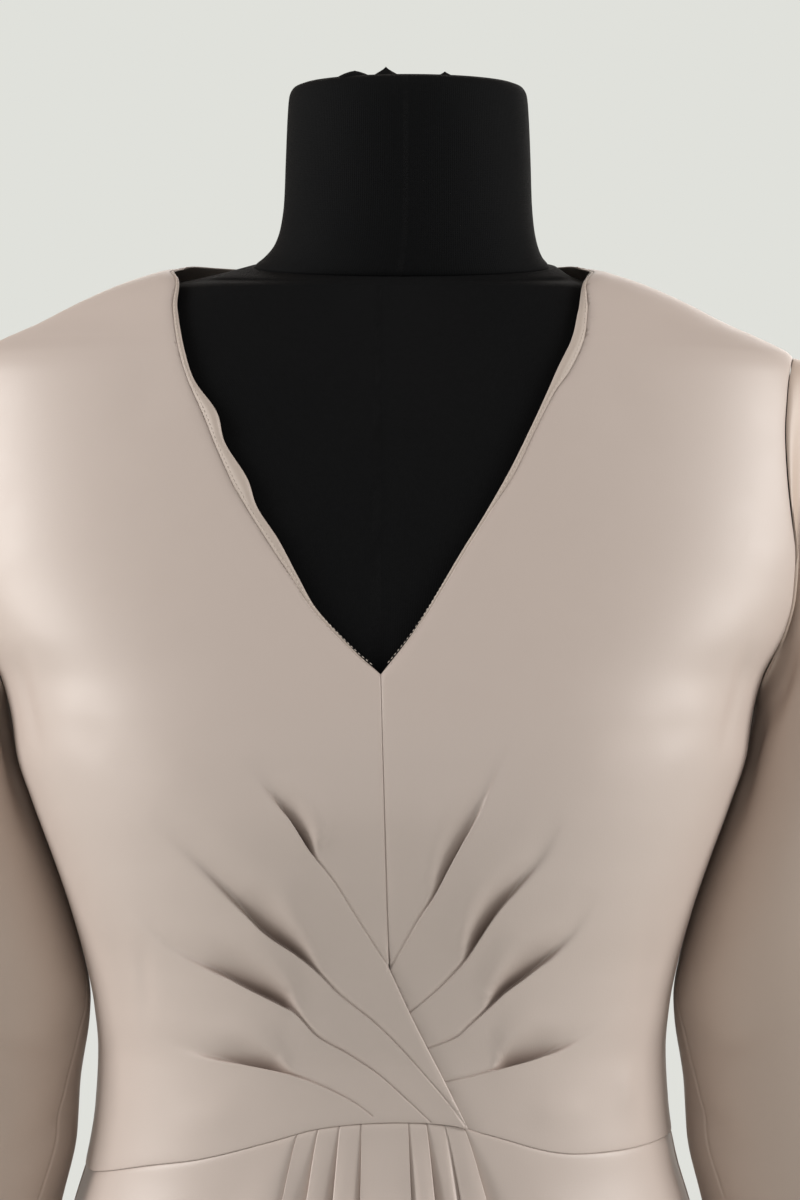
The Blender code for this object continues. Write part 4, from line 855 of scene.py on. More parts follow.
def jersey_finish(name, colour):
    """Fine black knit: upright wales of small loops, dull, with a faint fuzz."""
    f = Finish(name, colour)
    cut, body = f.cut(), f.body()
    across, rise = f.across_and_up(cut)
    wale = (across * (2 * math.pi / 0.0011)).wave()
    course = (rise * (2 * math.pi / 0.0008) + wale * 0.9).wave()
    fuzz, wear = f.noise(body, 620.0, 3.0, 0.65), f.noise(body, 14.0, 3.0, 0.6)
    tone = f.blend(fuzz * 0.6 + wear * 0.4, tinted(colour, 0.7, 0.7, 0.72),
                   tinted(colour, 1.7, 1.7, 1.72))
    return f.done(tone, 0.80 + (wear - 0.5) * 0.2,
                  (wale * 0.35 + course * 0.25 + fuzz * 0.6, 0.55, 0.0002),
                  {"Specular IOR Level": 0.06})


def tape_finish(name, colour):
    """Woven zip tape: a fine herringbone of ribs."""
    f = Finish(name, colour)
    across, rise = f.across_and_up(f.cut())
    zigzag = f.node("ShaderNodeMath", {"operation": "PINGPONG"}, {0: across, 1: 0.002})
    rib = ((rise + zigzag) * (2 * math.pi / 0.0009)).wave()
    return f.done(f.shades(rib * 0.5 + 0.5, colour, 0.8, 1.1), 0.72, (rib, 0.5, 0.0002),
                  {"Sheen Weight": 0.15})


def thread_finish(name, colour):
    """Twisted sewing thread."""
    f = Finish(name, colour)
    ply = f.noise(f.body(), 2500.0, 1.0)
    return f.done(f.shades(ply, colour, 0.85, 1.15), 0.55, (ply, 0.4, 0.0001),
                  {"Sheen Weight": 0.2})


def painted_finish(name, colour):
    """Black powder coat with a fine orange peel and a little dust."""
    f = Finish(name, colour)
    body = f.body()
    peel, dust = f.noise(body, 900.0), f.noise(body, 26.0, 5.0, 0.65)
    tone = f.blend(dust, tinted(colour, 0.85, 0.85, 0.85), tinted(colour, 1.6, 1.6, 1.55))
    return f.done(tone, 0.38 + (dust - 0.5) * 0.25 + (peel - 0.5) * 0.1, (peel, 0.35, 0.0002),
                  {"Coat Roughness": 0.3, "Specular IOR Level": 0.45})


def metal_finish(name, colour, roughness, lines):
    """Brushed metal: fine lines along Z, or round it, and a little smear."""
    f = Finish(name, colour)
    body = f.body()
    brush, smear = f.noise(body, 1.0, 3.0, 0.6, lines), f.noise(body, 40.0, 3.0)
    return f.done(f.shades(brush * 0.7 + smear * 0.3, colour, 0.86, 1.08),
                  roughness + (brush - 0.5) * 0.2 + (smear - 0.5) * 0.1, (brush, 0.25, 0.0001),
                  {"Metallic": 1.0})


def kept_finish(name, make, *sizes):
    """The named material, made once."""
    return bpy.data.materials.get(name) or make(name, *sizes)


def silk():
    sizes = bpy.context.scene.dress_cloth
    return kept_finish("silk_crepe", silk_finish, sizes.silk_colour, sizes.silk_roughness,
                       sizes.silk_sheen, 0.35)


def sleeve_silk_warm_shade():
    """The sleeves' silk, tinted warmer and a little darker as painted shade: it stands in for the
    warm light bounced between sleeve and bodice.
    """
    sizes = bpy.context.scene.dress_cloth
    return kept_finish("sleeve_crepe", silk_finish, tinted(sizes.silk_colour, 0.98, 0.93, 0.87),
                       sizes.silk_roughness, sizes.silk_sheen, 0.35)


def facing_silk():
    sizes = bpy.context.scene.dress_cloth
    return kept_finish("facing_crepe", silk_finish, sizes.facing_colour,
                       sizes.silk_roughness + 0.08, sizes.silk_sheen, 0.45)


def jersey():
    return kept_finish("form_jersey", jersey_finish,
                       bpy.context.scene.dress_form_sizes.jersey_colour)


def thread():
    return kept_finish("sewing_thread", thread_finish, bpy.context.scene.dress_cloth.thread_colour)


def refinish(nodes, finish):
    """Gives carried-over CAD nodes their finish."""
    for node in nodes:
        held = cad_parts[node].data.materials
        held.clear()
        held.append(finish)


# --------------------------------------------------------------- the bodice's pieces


def front_outline(side):
    """Outline of a bodice front in girth and height, counter-clockwise."""
    table = NECKLINE_LEFT if side > 0 else NECKLINE_RIGHT
    lap = smooth_line(worn_rows(LAP), 0.0018)
    lap[-1, 1] = waist_z(lap[-1, 0])
    if side > 0:                      # the left front runs on under the lap
        under = lap.copy()
        under[:, 0] -= 0.006 * np.clip((lap[0, 1] - lap[:, 1]) / 0.02, 0, 1)
        under[-1, 1] = waist_z(under[-1, 0])
        lap_edge = under
    else:
        lap_edge = lap
    rise = np.linspace(0, 1, 60)
    centre = np.stack([lap[0, 0] * (1 - rise), lap[0, 1] + (V_TIP_Z - lap[0, 1]) * rise], axis=1)
    edge = neckline(table)[1]
    side_g = side * float(quarter(WAIST_Z[-1] if side > 0 else WAIST_Z[0]))
    count = int(abs(side_g - lap_edge[-1, 0]) / 0.0024)
    bottom_g = np.linspace(lap_edge[-1, 0], side_g, count)
    bottom = np.stack([bottom_g, waist_z(bottom_g)], axis=1)
    up_z = np.linspace(bottom[-1, 1], UNDERARM_Z, 90)
    up = np.stack([side * quarter(up_z), up_z], axis=1)
    hole = armhole_line(False, side)
    top = shoulder_point(np.linspace(SHOULDER_RUN, table[0][2] / 1000, 60), False, side)
    loop = np.vstack([bottom[:-1], up[:-1], hole[:-1], top[:-1], edge[:-1], centre[::-1][:-1],
                      lap_edge[:-1]])
    parts = {"waist": bottom, "side": up, "armhole": hole, "shoulder": top, "neck": edge,
             "centre": centre, "lap": lap}
    return (loop if side > 0 else loop[::-1]), parts


def bodice_front(side, sizes):
    """One bodice front with its four tucks; the right one laps over the left."""
    loop, parts = front_outline(side)
    lines = tuck_lines(TUCKS_LEFT if side > 0 else TUCKS_RIGHT)
    spots, faces = fill(loop, edge_rows(loop) + tuck_rows(lines), 0.0034)
    lift, shift, shade = tuck_shape(spots, lines, sizes.tuck_depth)
    creases = CREASES_LEFT if side > 0 else CREASES_RIGHT
    lift += crease_lift(spots, creases, worn_rows) * sizes.crease_depth
    for part, depth, width in (("side", 0.0007, 0.0012), ("armhole", 0.0006, 0.0011),
                               ("shoulder", 0.0005, 0.0011), ("waist", 0.0003, 0.0009),
                               ("centre", 0.0007, 0.0008), ("neck", 0.0010, 0.0013)):
        lift += seam_sink(spots, parts[part], depth, width)
    gap, hand, _ = near_line(spots, parts["lap"])
    if side < 0:
        lift += dip(gap, 0.0011, 0.011, 1.5)
        lift -= dip(gap, 0.0005, 0.0006)
    else:
        sunk = hand * np.sign(parts["lap"][-1, 1] - parts["lap"][0, 1]) > 0
        lift -= dip(gap, 0.0005, 0.004) + np.where(sunk, 0.0004, 0.0)
    moved = spots + shift * sizes.tuck_depth
    piece = add_cloth(sided("silk_front", side), raised(moved[:, 0], moved[:, 1], lift), faces,
                      spots, silk(), sizes.cloth_thickness)
    # the tucks' painted shade, kept with the mesh to darken the silk's colour
    mark = piece.data.attributes.new("painted_fold_shade", "FLOAT", "POINT")
    mark.data.foreach_set("value", shade)
    return piece


def bodice_back(side, sizes):
    """One bodice back, with its waist dart, open down the centre for the zip."""
    low_z = WAIST_Z[-1] if side > 0 else WAIST_Z[0]
    bottom_g = np.linspace(CENTRE_GAP, quarter(low_z, True), 70)
    bottom = np.stack([bottom_g, waist_back_z(bottom_g, side)], axis=1)
    up_z = np.linspace(low_z, UNDERARM_Z, 80)
    up = np.stack([quarter(up_z, True), up_z], axis=1)
    hole = armhole_line(True, 1)
    top = shoulder_point(np.linspace(SHOULDER_RUN, 0.0, 60), True, 1)
    share = np.linspace(1, 0, 50)
    neck = np.stack([CENTRE_GAP + (quarter(NECK_POINT_Z, True) - CENTRE_GAP) * share,
                     back_neck_z(share)], axis=1)
    centre_z = np.linspace(neck[-1, 1], bottom[0, 1], 170)
    centre = np.stack([np.full_like(centre_z, CENTRE_GAP), centre_z], axis=1)
    loop = np.vstack([bottom[:-1], up[:-1], hole[:-1], top[:-1], neck[:-1], centre[:-1]])
    dart = smooth_line(DART, 0.0014)
    rows = [(dart + left_hand(dart) * a, c) for a, c in
            ((0.0, 0.0003), (0.0006, 0.0003), (-0.0006, 0.0003), (0.0016, 0.0006),
             (-0.0016, 0.0006))]
    spots, faces = fill(loop, edge_rows(loop) + rows, 0.0036)
    lift = crease_lift(spots, CREASES_BACK, lambda rows: np.array(rows) / 1000)
    lift *= sizes.crease_depth
    gap, hand, place = near_line(spots, dart)
    taper = np.clip(1 - place / (len(dart) - 1), 0, 1) ** 0.6
    lift += np.where(gap < 0.02, dip(gap, -0.0007 * taper, 0.0007)
                     + 0.0004 * taper * np.where(hand > 0, np.exp(-gap / 0.004), 0), 0)
    for line, depth, width in ((up, 0.0009, 0.0013), (hole, 0.0009, 0.0013),
                               (top, 0.0006, 0.0012), (bottom, 0.0005, 0.0011),
                               (centre, 0.0006, 0.0011), (neck, 0.0006, 0.0012)):
        lift += seam_sink(spots, line, depth, width)
    return add_cloth(sided("silk_back", side), raised(side * spots[:, 0], spots[:, 1], lift, True),
                     faces, spots, silk(), sizes.cloth_thickness)


def facing_front(side, sizes):
    """A neck facing that rolls out along the V and shows as a narrow strip."""
    line, edge = neckline(NECKLINE_LEFT if side > 0 else NECKLINE_RIGHT, 0.0016)
    out = left_hand(line) * side
    shares = np.concatenate([[0.0, 0.008, 0.025, 0.055], np.linspace(0.1, 1.0, 15)])
    points, flat = [], []
    last = len(line) - 1
    roll = np.linalg.norm(edge - line, axis=1)
    for k in range(last + 1):
        blend = min(k / 12, (last - k) / 12, 1.0)
        end = (shoulder_point(FACING_WIDTH, False, side) - line[0]) if k < last / 2 \
            else np.array([0.0, -1.25 * FACING_WIDTH])
        width = out[k] * FACING_WIDTH * blend + end * (1 - blend)
        spot = line[k] + width * shares[:, None]
        if k == last:                    # the two facings meet at the V's tip
            spot[:, 0] = side * 0.0003
        away = FACING_WIDTH * shares
        bulge = 0.0009 * np.clip(roll[k] / 0.006, 0, 1)
        depth = (0.0016 * np.exp(-away / 0.0009)
                 + 0.0009 * eased(away / max(roll[k], 0.001) - 0.3) + 0.0004
                 - bulge * np.exp(-((away - 0.45 * roll[k]) / (0.35 * roll[k] + 0.0005)) ** 2))
        points.append(raised(spot[:, 0], spot[:, 1], -depth))
        flat.append(spot)
    return add_grid(sided("neck_facing", side), np.array(points), np.array(flat), facing_silk(),
                    sizes.cloth_thickness)


def facing_back(side, sizes):
    """A facing behind the neck, from the shoulder to the zip tape."""
    inner = ZIP_TAPE_WIDTH / 2 + 0.001
    drops = np.concatenate([[0.0, 0.02, 0.05], np.linspace(0.1, 1.0, 10)])
    points, flat = [], []
    for share in np.linspace(0, 1, 60):
        z = back_neck_z(share) - 0.0002 - drops * BACK_FACING_WIDTH * (1 - 0.55 * share)
        g_top = inner + (quarter(NECK_POINT_Z, True) - inner) * share
        g = g_top * (1 - share) + share * (quarter(z, True) - 0.0008)
        depth = CLOTH_DEPTH + 0.0004 * drops
        points.append(raised(side * g, z, -depth, True))
        flat.append(np.stack([g, z], axis=1))
    return add_grid(sided("back_facing", side), np.array(points), np.array(flat), facing_silk(),
                    sizes.cloth_thickness)


# ----------------------------------------------------------------------- the sleeves


def sleeve(side, sizes):
    """A long set-in sleeve: an open tube with its seam turning to the front."""
    near = np.array([0.0, 0.0006, 0.0014, 0.0026])
    half = np.linspace(0.0052, math.pi * SLEEVE_STEP_RADIUS, 44)
    offset = np.concatenate([near, half]) / SLEEVE_STEP_RADIUS
    offset = np.concatenate([-offset[:0:-1], offset[:-1]])
    rings = np.concatenate([[0.0, 0.03, 0.07, 0.14, 0.24, 0.36], np.linspace(0.5, 11.9, 190),
                            [11.96, 12.0]])
    seam_turn = through([r for r, _ in SLEEVE_SEAM], [t for _, t in SLEEVE_SEAM], rings)
    turn = seam_turn[:, None] + offset[None]
    ring = np.repeat(rings[:, None], len(offset), axis=1)
    column = np.arange(len(SLEEVE_RINGS))
    out_x, out_z, in_x, in_z, deep, mid = (
        through(column, SLEEVE_RINGS[:, c], ring) / 1000 for c in range(6))
    bodice = through(SECTIONS[:, 0], SECTIONS[:, 1], in_z) + 0.0009
    touching = eased((in_z - 1.040) / 0.060) * eased(ring - 1.0)
    in_x = in_x + (np.minimum(in_x, bodice) - in_x) * touching
    share = (1 + np.cos(turn)) / 2
    x = in_x + (out_x - in_x) * share
    y = mid - deep * np.sin(turn)
    z = in_z + (out_z - in_z) * share
    turned = np.mod(turn, 2 * math.pi)
    cut, hole_z = armhole(turned)
    behind = np.sin(turned) < 0
    front_spot = surface(quarter(hole_z) - cut, hole_z)
    back_spot = surface(quarter(hole_z, True) - cut, hole_z, True)
    seam = np.where(behind[..., None], back_spot, front_spot)
    first = SLEEVE_RINGS[0] / 1000
    plain = np.stack([first[2] + (first[0] - first[2]) * share, -first[4] * np.sin(turn),
                      first[3] + (first[1] - first[3]) * share], axis=-1)
    keep = np.clip(1 - ring / 3, 0, None)[..., None] ** 1.5
    swell = 0.013 * np.clip(np.sin(turn), 0, 1) * eased(ring / 1.2)     # fullness in front
    y = y + swell * (1 - eased((ring - 2.5) / 3.5))
    points = np.stack([x, y, z], axis=-1) + (seam - plain) * keep
    run = np.linalg.norm(np.diff(points, axis=0), axis=-1)
    along = np.vstack([np.zeros((1, len(offset))), np.cumsum(run, axis=0)])
    # directions across the cloth, from the grid itself
    du = np.roll(points, -1, axis=1) - np.roll(points, 1, axis=1)
    dv = np.gradient(points, axis=0)
    out = np.cross(du, dv)
    out /= np.linalg.norm(out, axis=-1)[..., None]
    middle = points.mean(axis=1, keepdims=True)
    if ((points - middle) * out).sum() < 0:
        out = -out
    spots = np.stack([turned * SLEEVE_RADIUS, along.mean(axis=1, keepdims=True) + 0 * turned],
                     axis=-1).reshape(-1, 2)
    mean_along = along.mean(axis=1)
    lift = crease_lift(spots, CREASES_SLEEVE, lambda rows: [
        (math.radians(t) * SLEEVE_RADIUS, float(np.interp(r, rings, mean_along)))
        for t, r in rows])
    lift = lift.reshape(turned.shape) * sizes.crease_depth
    lift -= dip(along, 0.0003, 0.0009, 1.4)
    seam_away = np.abs(offset)[None] * SLEEVE_STEP_RADIUS
    lift -= dip(seam_away, 0.0004, 0.0006, 1.5)
    lift += 0.0001 * np.where(offset[None] > 0, np.exp(-seam_away / 0.004), 0)
    lift -= dip(along[-1:] - along - CUFF_HEM, 0.0004, 0.0012)
    points = (points + out * lift[..., None]) * (side, 1, 1)
    flat = np.stack([offset[None] * SLEEVE_RADIUS + 0 * along, along], axis=-1)
    # the sleeve's silk carries a painted warm shade
    return add_grid(sided("silk_sleeve", side), points, flat, sleeve_silk_warm_shade(),
                    sizes.cloth_thickness, True, (float(points[..., 0].mean()), 0.0))


# ------------------------------------------------------------------------- the skirt


def fold_curve(keys, depths, at):
    """Soft waves through the fold depths."""
    k = np.clip(np.searchsorted(keys, at, side="right") - 1, 0, len(keys) - 2)
    t = eased((at - keys[k]) / (keys[k + 1] - keys[k]))
    return depths[k] * (1 - t) + depths[k + 1] * t


def seam_heights(share, behind, top_of):
    """Heights of the waist seam at shares of the quarter girth."""
    z = np.full_like(share, WAIST_BACK_Z)
    for _ in range(6):
        z = top_of(share * quarter(z, behind))
    return z


def skirt_front(sizes):
    """The front skirt: pleats at the middle of the waist that open into flutes."""
    table = np.array(FRONT_FOLDS)
    edges = np.array([e for e, *_ in PLEATS])
    x = np.concatenate([np.arange(-138.5, -56.0, 2.6), np.arange(-56.0, 58.0, 0.46),
                        np.arange(58.0, 138.5, 2.6), [138.5]])
    x = x[np.abs(x[:, None] - edges[None]).min(axis=1) > 0.3]
    x = np.sort(np.concatenate([x, edges - 0.1, edges + 0.1]))
    z_at = np.interp(x / 1000, WAIST_LINE[:, 0], WAIST_Z)
    g_at = np.array([girth_at(a / 1000, b) for a, b in zip(x, z_at)])
    waist_share = np.clip(g_at / quarter(z_at), -1, 1)
    waist_share[0], waist_share[-1] = -1.0, 1.0
    hem_share = through(table[:, 0], table[:, 1], x)
    hem_depth = fold_curve(table[:, 0], table[:, 3], x)
    top = seam_heights(waist_share, False, waist_z)
    v = np.concatenate([[0.0, 0.0014, 0.003, 0.005, 0.008], np.linspace(0.012, 0.10, 26),
                        np.linspace(0.11, 0.985, 66), [0.992, 0.997, 1.0]])
    share = waist_share[None] + (hem_share - waist_share)[None] * v[:, None] ** 0.75
    z = top[None] + (HEM_Z - top[None]) * v[:, None]
    g = share * quarter(z)
    below = (top[None] - z) / 0.035           # 1 at 35 mm under the seam
    place = x[None] + 0 * z
    grow = np.clip(below, 0, None)
    pleat, tucked = np.zeros_like(z), np.zeros_like(z)
    for edge, hand, depth, width in PLEATS:
        out = (place - edge) * hand
        deep = 1.0 + (depth - 1.0) * eased(grow * 0.85) + 0.9 * np.clip(grow - 1, 0, 3)
        wide = 0.35 + (width - 0.35) * np.clip(grow, 0, 1.4) ** 0.7
        hollow = np.where(out > 0, deep * np.exp(-(np.maximum(out, 0) / wide) ** 1.3), 0.0)
        pleat -= hollow
        tucked -= hand * 0.55 * np.where(out > 0, deep * np.exp(-np.maximum(out, 0) / wide), 0.0)
    near_waist = pleat * sizes.pleat_depth
    flute = hem_depth[None] * np.minimum(1.0, v[:, None] * 1.15)
    fade = 1 - eased((v[:, None] - 0.05) / 0.30)
    depth = (near_waist * fade + flute) / 1000
    depth -= dip(top[None] - z, 0.0006, 0.0012, 1.4)                        # the waist seam
    depth -= dip((1 - np.abs(share)) * quarter(z), 0.0007, 0.0013, 1.4)     # the side seams
    depth -= dip(z - HEM_Z - SKIRT_HEM, 0.0003, 0.0012)
    # each hollow's floor runs back under its pleat's edge
    g = g + np.where((grow > 0.02) & (np.abs(place) < 60), tucked * fade / 1000, 0.0)
    return add_grid("silk_skirt_front", raised(g, z, depth), np.stack([g, z], axis=-1), silk(),
                    sizes.cloth_thickness)


def skirt_back(side, sizes):
    """A back skirt: soft flutes from the waist, its side and centre seams."""
    folds = np.array(BACK_FOLDS)
    share = np.concatenate([[0.0, 0.004, 0.010], np.linspace(0.02, 0.985, 84), [0.993, 1.0]])
    top = seam_heights(share, True, lambda g: waist_back_z(g, side))
    v = np.concatenate([[0.0, 0.0014, 0.003, 0.006, 0.012], np.linspace(0.022, 0.985, 80),
                        [0.992, 0.997, 1.0]])
    z = top[None] + (HEM_Z - top[None]) * v[:, None]
    g = np.maximum(share[None] * quarter(z, True), CENTRE_GAP)
    wave = fold_curve(folds[:, 0], folds[:, 1], share)
    depth = wave[None] * np.minimum(1.0, v[:, None] * 1.15) / 1000
    below = top[None] - z
    depth = depth - dip(below, 0.0011, 0.0016, 1.4)                             # the waist seam
    depth -= dip((1 - share[None]) * quarter(z, True), 0.0007, 0.0013, 1.4)     # the side seam
    depth -= dip(g, 0.0006, 0.0011, 1.4)                                        # the centre seam
    depth -= dip(z - HEM_Z - SKIRT_HEM, 0.0003, 0.0012)
    depth -= dip(g - DART[0][0], 0.0007 * np.clip(1 - below / 0.10, 0, 1), 0.0012)
    return add_grid(sided("silk_skirt_back", side), raised(side * g, z, depth, True),
                    np.stack([g, z], axis=-1), silk(), sizes.cloth_thickness)


# ------------------------------------------------------------- stitches along a line


def stitch_tree():
    """Geometry Nodes: small drawn-out balls laid along a line at an even pitch."""
    known = bpy.data.node_groups.get("stitches_on_line")
    if known:
        return known
    tree = bpy.data.node_groups.new("stitches_on_line", "GeometryNodeTree")
    face = tree.interface
    face.new_socket("Geometry", in_out="INPUT", socket_type="NodeSocketGeometry")
    for label, value in (("Pitch", 0.0024), ("Stitch Length", 0.0016), ("Thickness", 0.0003),
                         ("Turn", 0.0)):
        socket = face.new_socket(label, in_out="INPUT", socket_type="NodeSocketFloat")
        socket.default_value = value
    face.new_socket("Material", in_out="INPUT", socket_type="NodeSocketMaterial")
    face.new_socket("Geometry", in_out="OUTPUT", socket_type="NodeSocketGeometry")
    t = Nodes(tree)
    given = {s.name: Wire(t, s) for s in tree.nodes.new("NodeGroupInput").outputs if s.name}
    path = t.node("GeometryNodeMeshToCurve", None, {0: given["Geometry"]})
    even = t.node("GeometryNodeResampleCurve", {"mode": "LENGTH"},
                  {"Curve": path, "Length": given["Pitch"]})
    ball = t.node("GeometryNodeMeshUVSphere", None, {"Segments": 6, "Rings": 4, "Radius": 0.5})
    size = t.node("ShaderNodeCombineXYZ", None, {
        "X": given["Stitch Length"], "Y": given["Thickness"], "Z": given["Thickness"]})
    shaped = t.node("GeometryNodeTransform", None, {"Geometry": ball, "Scale": size})
    aim = t.node("FunctionNodeAlignRotationToVector", {"axis": "X"},
                 {"Vector": t.node("GeometryNodeInputTangent")})
    spin = t.node("FunctionNodeRotateRotation", {"rotation_space": "LOCAL"}, {
        "Rotation": aim, "Rotate By": t.node("ShaderNodeCombineXYZ", None, {"Z": given["Turn"]})})
    placed = t.node("GeometryNodeInstanceOnPoints", None, {
        "Points": even, "Instance": shaped, "Rotation": spin})
    real = t.node("GeometryNodeRealizeInstances", None, {0: placed})
    t.end("NodeGroupOutput", t.node("GeometryNodeSetMaterial", None, {
        "Geometry": real, "Material": given["Material"]}))
    return tree


def sew(name, lines, pitch, length, thickness, material, turn=0.0):
    """Stitches along lines of points, as one plain mesh."""
    points, edges = [], []
    for line in lines:
        start = len(points)
        points += [tuple(map(float, p)) for p in line]
        edges += [(start + k, start + k + 1) for k in range(len(line) - 1)]
    mesh = bpy.data.meshes.new(name + "_line")
    mesh.from_pydata(points, edges, [])
    carrier = bpy.data.objects.new(name + "_line", mesh)
    bpy.context.scene.collection.objects.link(carrier)
    tree = stitch_tree()
    step = carrier.modifiers.new("stitches", "NODES")
    step.node_group = tree
    wanted = {"Pitch": pitch, "Stitch Length": length, "Thickness": thickness, "Turn": turn,
              "Material": material}
    for item in tree.interface.items_tree:
        if item.in_out == "INPUT" and item.name in wanted:
            step[item.identifier] = wanted[item.name]
    carrier.update_tag()
    graph = bpy.context.evaluated_depsgraph_get()
    made = bpy.data.meshes.new_from_object(carrier.evaluated_get(graph))
    carrier.modifiers.clear()
    bpy.data.objects.remove(carrier, do_unlink=True)
    bpy.data.meshes.remove(mesh)
    made.name = name
    made.shade_smooth()
    if not made.materials:
        made.materials.append(material)
    piece = bpy.data.objects.new(name, made)
    bpy.context.scene.collection.objects.link(piece)
    return piece


# -------------------------------------------------------------------- form and stand


def form_radius(angle, z):
    """Distance of the form's torso from the axis, just inside the cloth."""
    inset = [np.interp(z, FORM_EASE[:, 0], FORM_EASE[:, i]) / 1000 for i in (1, 2, 3)]
    return radius(angle, np.where(z > 1.2, np.minimum(z + FORM_DROP, LEVELS[-1]), z), inset)


def neck_oval(angle, ring):
    """Points of a leaning oval ring of the shoulder top or the neck block."""
    middle, lean, centre, wide, front, back = ring
    s, c = np.sin(angle), np.cos(angle)
    y = np.where(c > 0, -front * c, -back * c)
    return np.stack([centre + wide * s, y, middle + lean * y], axis=-1)


def refined(rings, steps):
    """Rings of points with smooth ones between them."""
    rings = np.array(rings)
    along = np.concatenate([[0], np.cumsum(
        np.linalg.norm(np.diff(rings, axis=0), axis=-1).mean(axis=1))])
    fine = np.concatenate([np.linspace(a, b, steps, endpoint=False)
                           for a, b in zip(along[:-1], along[1:])] + [[along[-1]]])
    flat = rings.reshape(len(rings), -1)
    dense = np.stack([through(along, flat[:, c], fine) for c in range(flat.shape[1])], axis=1)
    return dense.reshape(len(fine), rings.shape[1], 3), fine


def closed_rings(name, rings, material, fine):
    """A closed body through rings, its ends drawn to a middle point."""
    count, sides = rings.shape[0], rings.shape[1]
    points = list(rings.reshape(-1, 3))
    faces = [tuple(f) for f in grid_faces(count, sides, wrap=True)]
    turns = np.linspace(0, 1, sides, endpoint=False)
    girth = np.linalg.norm(np.diff(rings, axis=1), axis=-1).sum(axis=1)
    flat = [(t * girth.max(), a) for a in fine for t in turns]
    for end, way in ((0, -1), (count - 1, 1)):
        ring, last = rings[end], end * sides
        middle = ring.mean(axis=0)
        for share in (0.6, 0.25):
            base = len(points)
            points += list(middle + (ring - middle) * share)
            flat += [(t * girth.max(), fine[end] + (1 - share) * 0.05) for t in turns]
            faces += [(last + k, last + (k + 1) % sides, base + (k + 1) % sides, base + k)[::way]
                      for k in range(sides)]
            last = base
        points.append(middle)
        flat.append((0.0, fine[end] + 0.05))
        faces += [(last + k, last + (k + 1) % sides, len(points) - 1)[::way]
                  for k in range(sides)]
    return add_mesh(name, points, faces, material, flat)


def form_torso():
    """The padded torso in black jersey, with its centre and side seams."""
    angle = FORM_ANGLES
    levels = np.concatenate([np.arange(FORM_BOTTOM_Z, 1.36, 0.008),
                             np.arange(1.36, FORM_TOP_Z, 0.004), [FORM_TOP_Z]])
    rings = []
    for z in levels:
        z = np.full(len(angle), z)
        r = form_radius(angle, z)
        rings.append(np.stack([r * np.sin(angle), -r * np.cos(angle), z], axis=1))
    top = [rings[-4], rings[-2], rings[-1], neck_oval(angle, SHOULDER_TOP),
           neck_oval(angle, NECK_SEAM)]
    cap, _ = refined(top, 6)
    rings = np.array(rings[:-4] + list(cap))
    fine = np.concatenate([[0], np.cumsum(
        np.linalg.norm(np.diff(rings, axis=0), axis=-1).mean(axis=1))])
    for seam in (0.0, math.pi / 2, math.pi, 1.5 * math.pi):
        away = np.abs((angle - seam + math.pi) % (2 * math.pi) - math.pi) * FORM_RADIUS
        rings[..., :2] *= 1 - (dip(away, 0.0010, 0.0030) / FORM_RADIUS)[None, :, None]
    return closed_rings("form_torso_jersey", rings, jersey(), fine)


def form_neck():
    """The neck block, with a shallow groove where it meets the shoulders."""
    rings, fine = refined([neck_oval(FORM_ANGLES, ring) for ring in NECK_RINGS], 5)
    seam = dip(fine - fine[0], 0.0010, 0.0016)
    rings[..., :2] += (rings[..., :2] - (NECK_MIDDLE_X, 0.0)) / 0.06 * -seam[:, None, None]
    return closed_rings("form_neck_jersey", rings, jersey(), fine)


def neck_bunches():
    """Three small bunches of gathered jersey on top of the neck block."""
    points, faces = [], []
    for x, y, wide, deep, tall, point in NECK_BUNCHES:
        start = len(points)
        rows, sides = 7, 18
        for r in range(rows):
            share = r / (rows - 1)
            ring = (1 - share ** 1.6) ** point
            for k in range(sides):
                a = 2 * math.pi * k / sides
                crimp = 1 + 0.14 * math.sin(5 * a + 1.3 * start)
                points.append((NECK_MIDDLE_X + x + wide * ring * crimp * math.cos(a),
                               y + deep * ring * crimp * math.sin(a),
                               NECK_TOP_Z - 0.0012 + tall * share))
        for f in grid_faces(rows, sides, wrap=True):
            faces.append(tuple(int(v) + start for v in f))
    return add_mesh("form_neck_bunches", points, faces, jersey(), [p[:2] for p in points])


# ------------------------------------------------------------------------ the sizes


class DressCloth(bpy.types.PropertyGroup):
    """Sizes and colours of the dress."""
    silk_colour: FloatVectorProperty(
        name="Silk", description="Colour of the silk's face", subtype="COLOR",
        default=(0.500, 0.422, 0.381), min=0, max=1)
    facing_colour: FloatVectorProperty(
        name="Facing", description="Colour of the neck facings", subtype="COLOR",
        default=(0.450, 0.378, 0.330), min=0, max=1)
    thread_colour: FloatVectorProperty(
        name="Thread", description="Colour of the sewing thread", subtype="COLOR",
        default=(0.540, 0.470, 0.410), min=0, max=1)
    silk_roughness: FloatProperty(
        name="Silk Roughness", description="How dull the silk's face is",
        default=0.46, min=0.1, max=1.0, subtype="FACTOR")
    silk_sheen: FloatProperty(
        name="Silk Sheen", description="Soft light along the silk's turned edges",
        default=0.18, min=0.0, max=1.0, subtype="FACTOR")
    cloth_thickness: FloatProperty(
        name="Cloth Thickness", description="Thickness of one layer of cloth",
        default=0.0006, min=0.0002, max=0.002, unit="LENGTH")
    tuck_depth: FloatProperty(
        name="Tuck Depth", description="Depth of the tucks beside their size as cut",
        default=1.0, min=0.2, max=1.6, subtype="FACTOR")
    pleat_depth: FloatProperty(
        name="Pleat Depth", description="Depth of the skirt's pleats beside their size as cut",
        default=1.0, min=0.2, max=1.6, subtype="FACTOR")
    crease_depth: FloatProperty(
        name="Crease Depth", description="Depth of the soft creases",
        default=1.0, min=0.0, max=2.0, subtype="FACTOR")
    stitch_pitch: FloatProperty(
        name="Stitch Pitch", description="Distance from one stitch to the next",
        default=0.0024, min=0.001, max=0.01, unit="LENGTH")


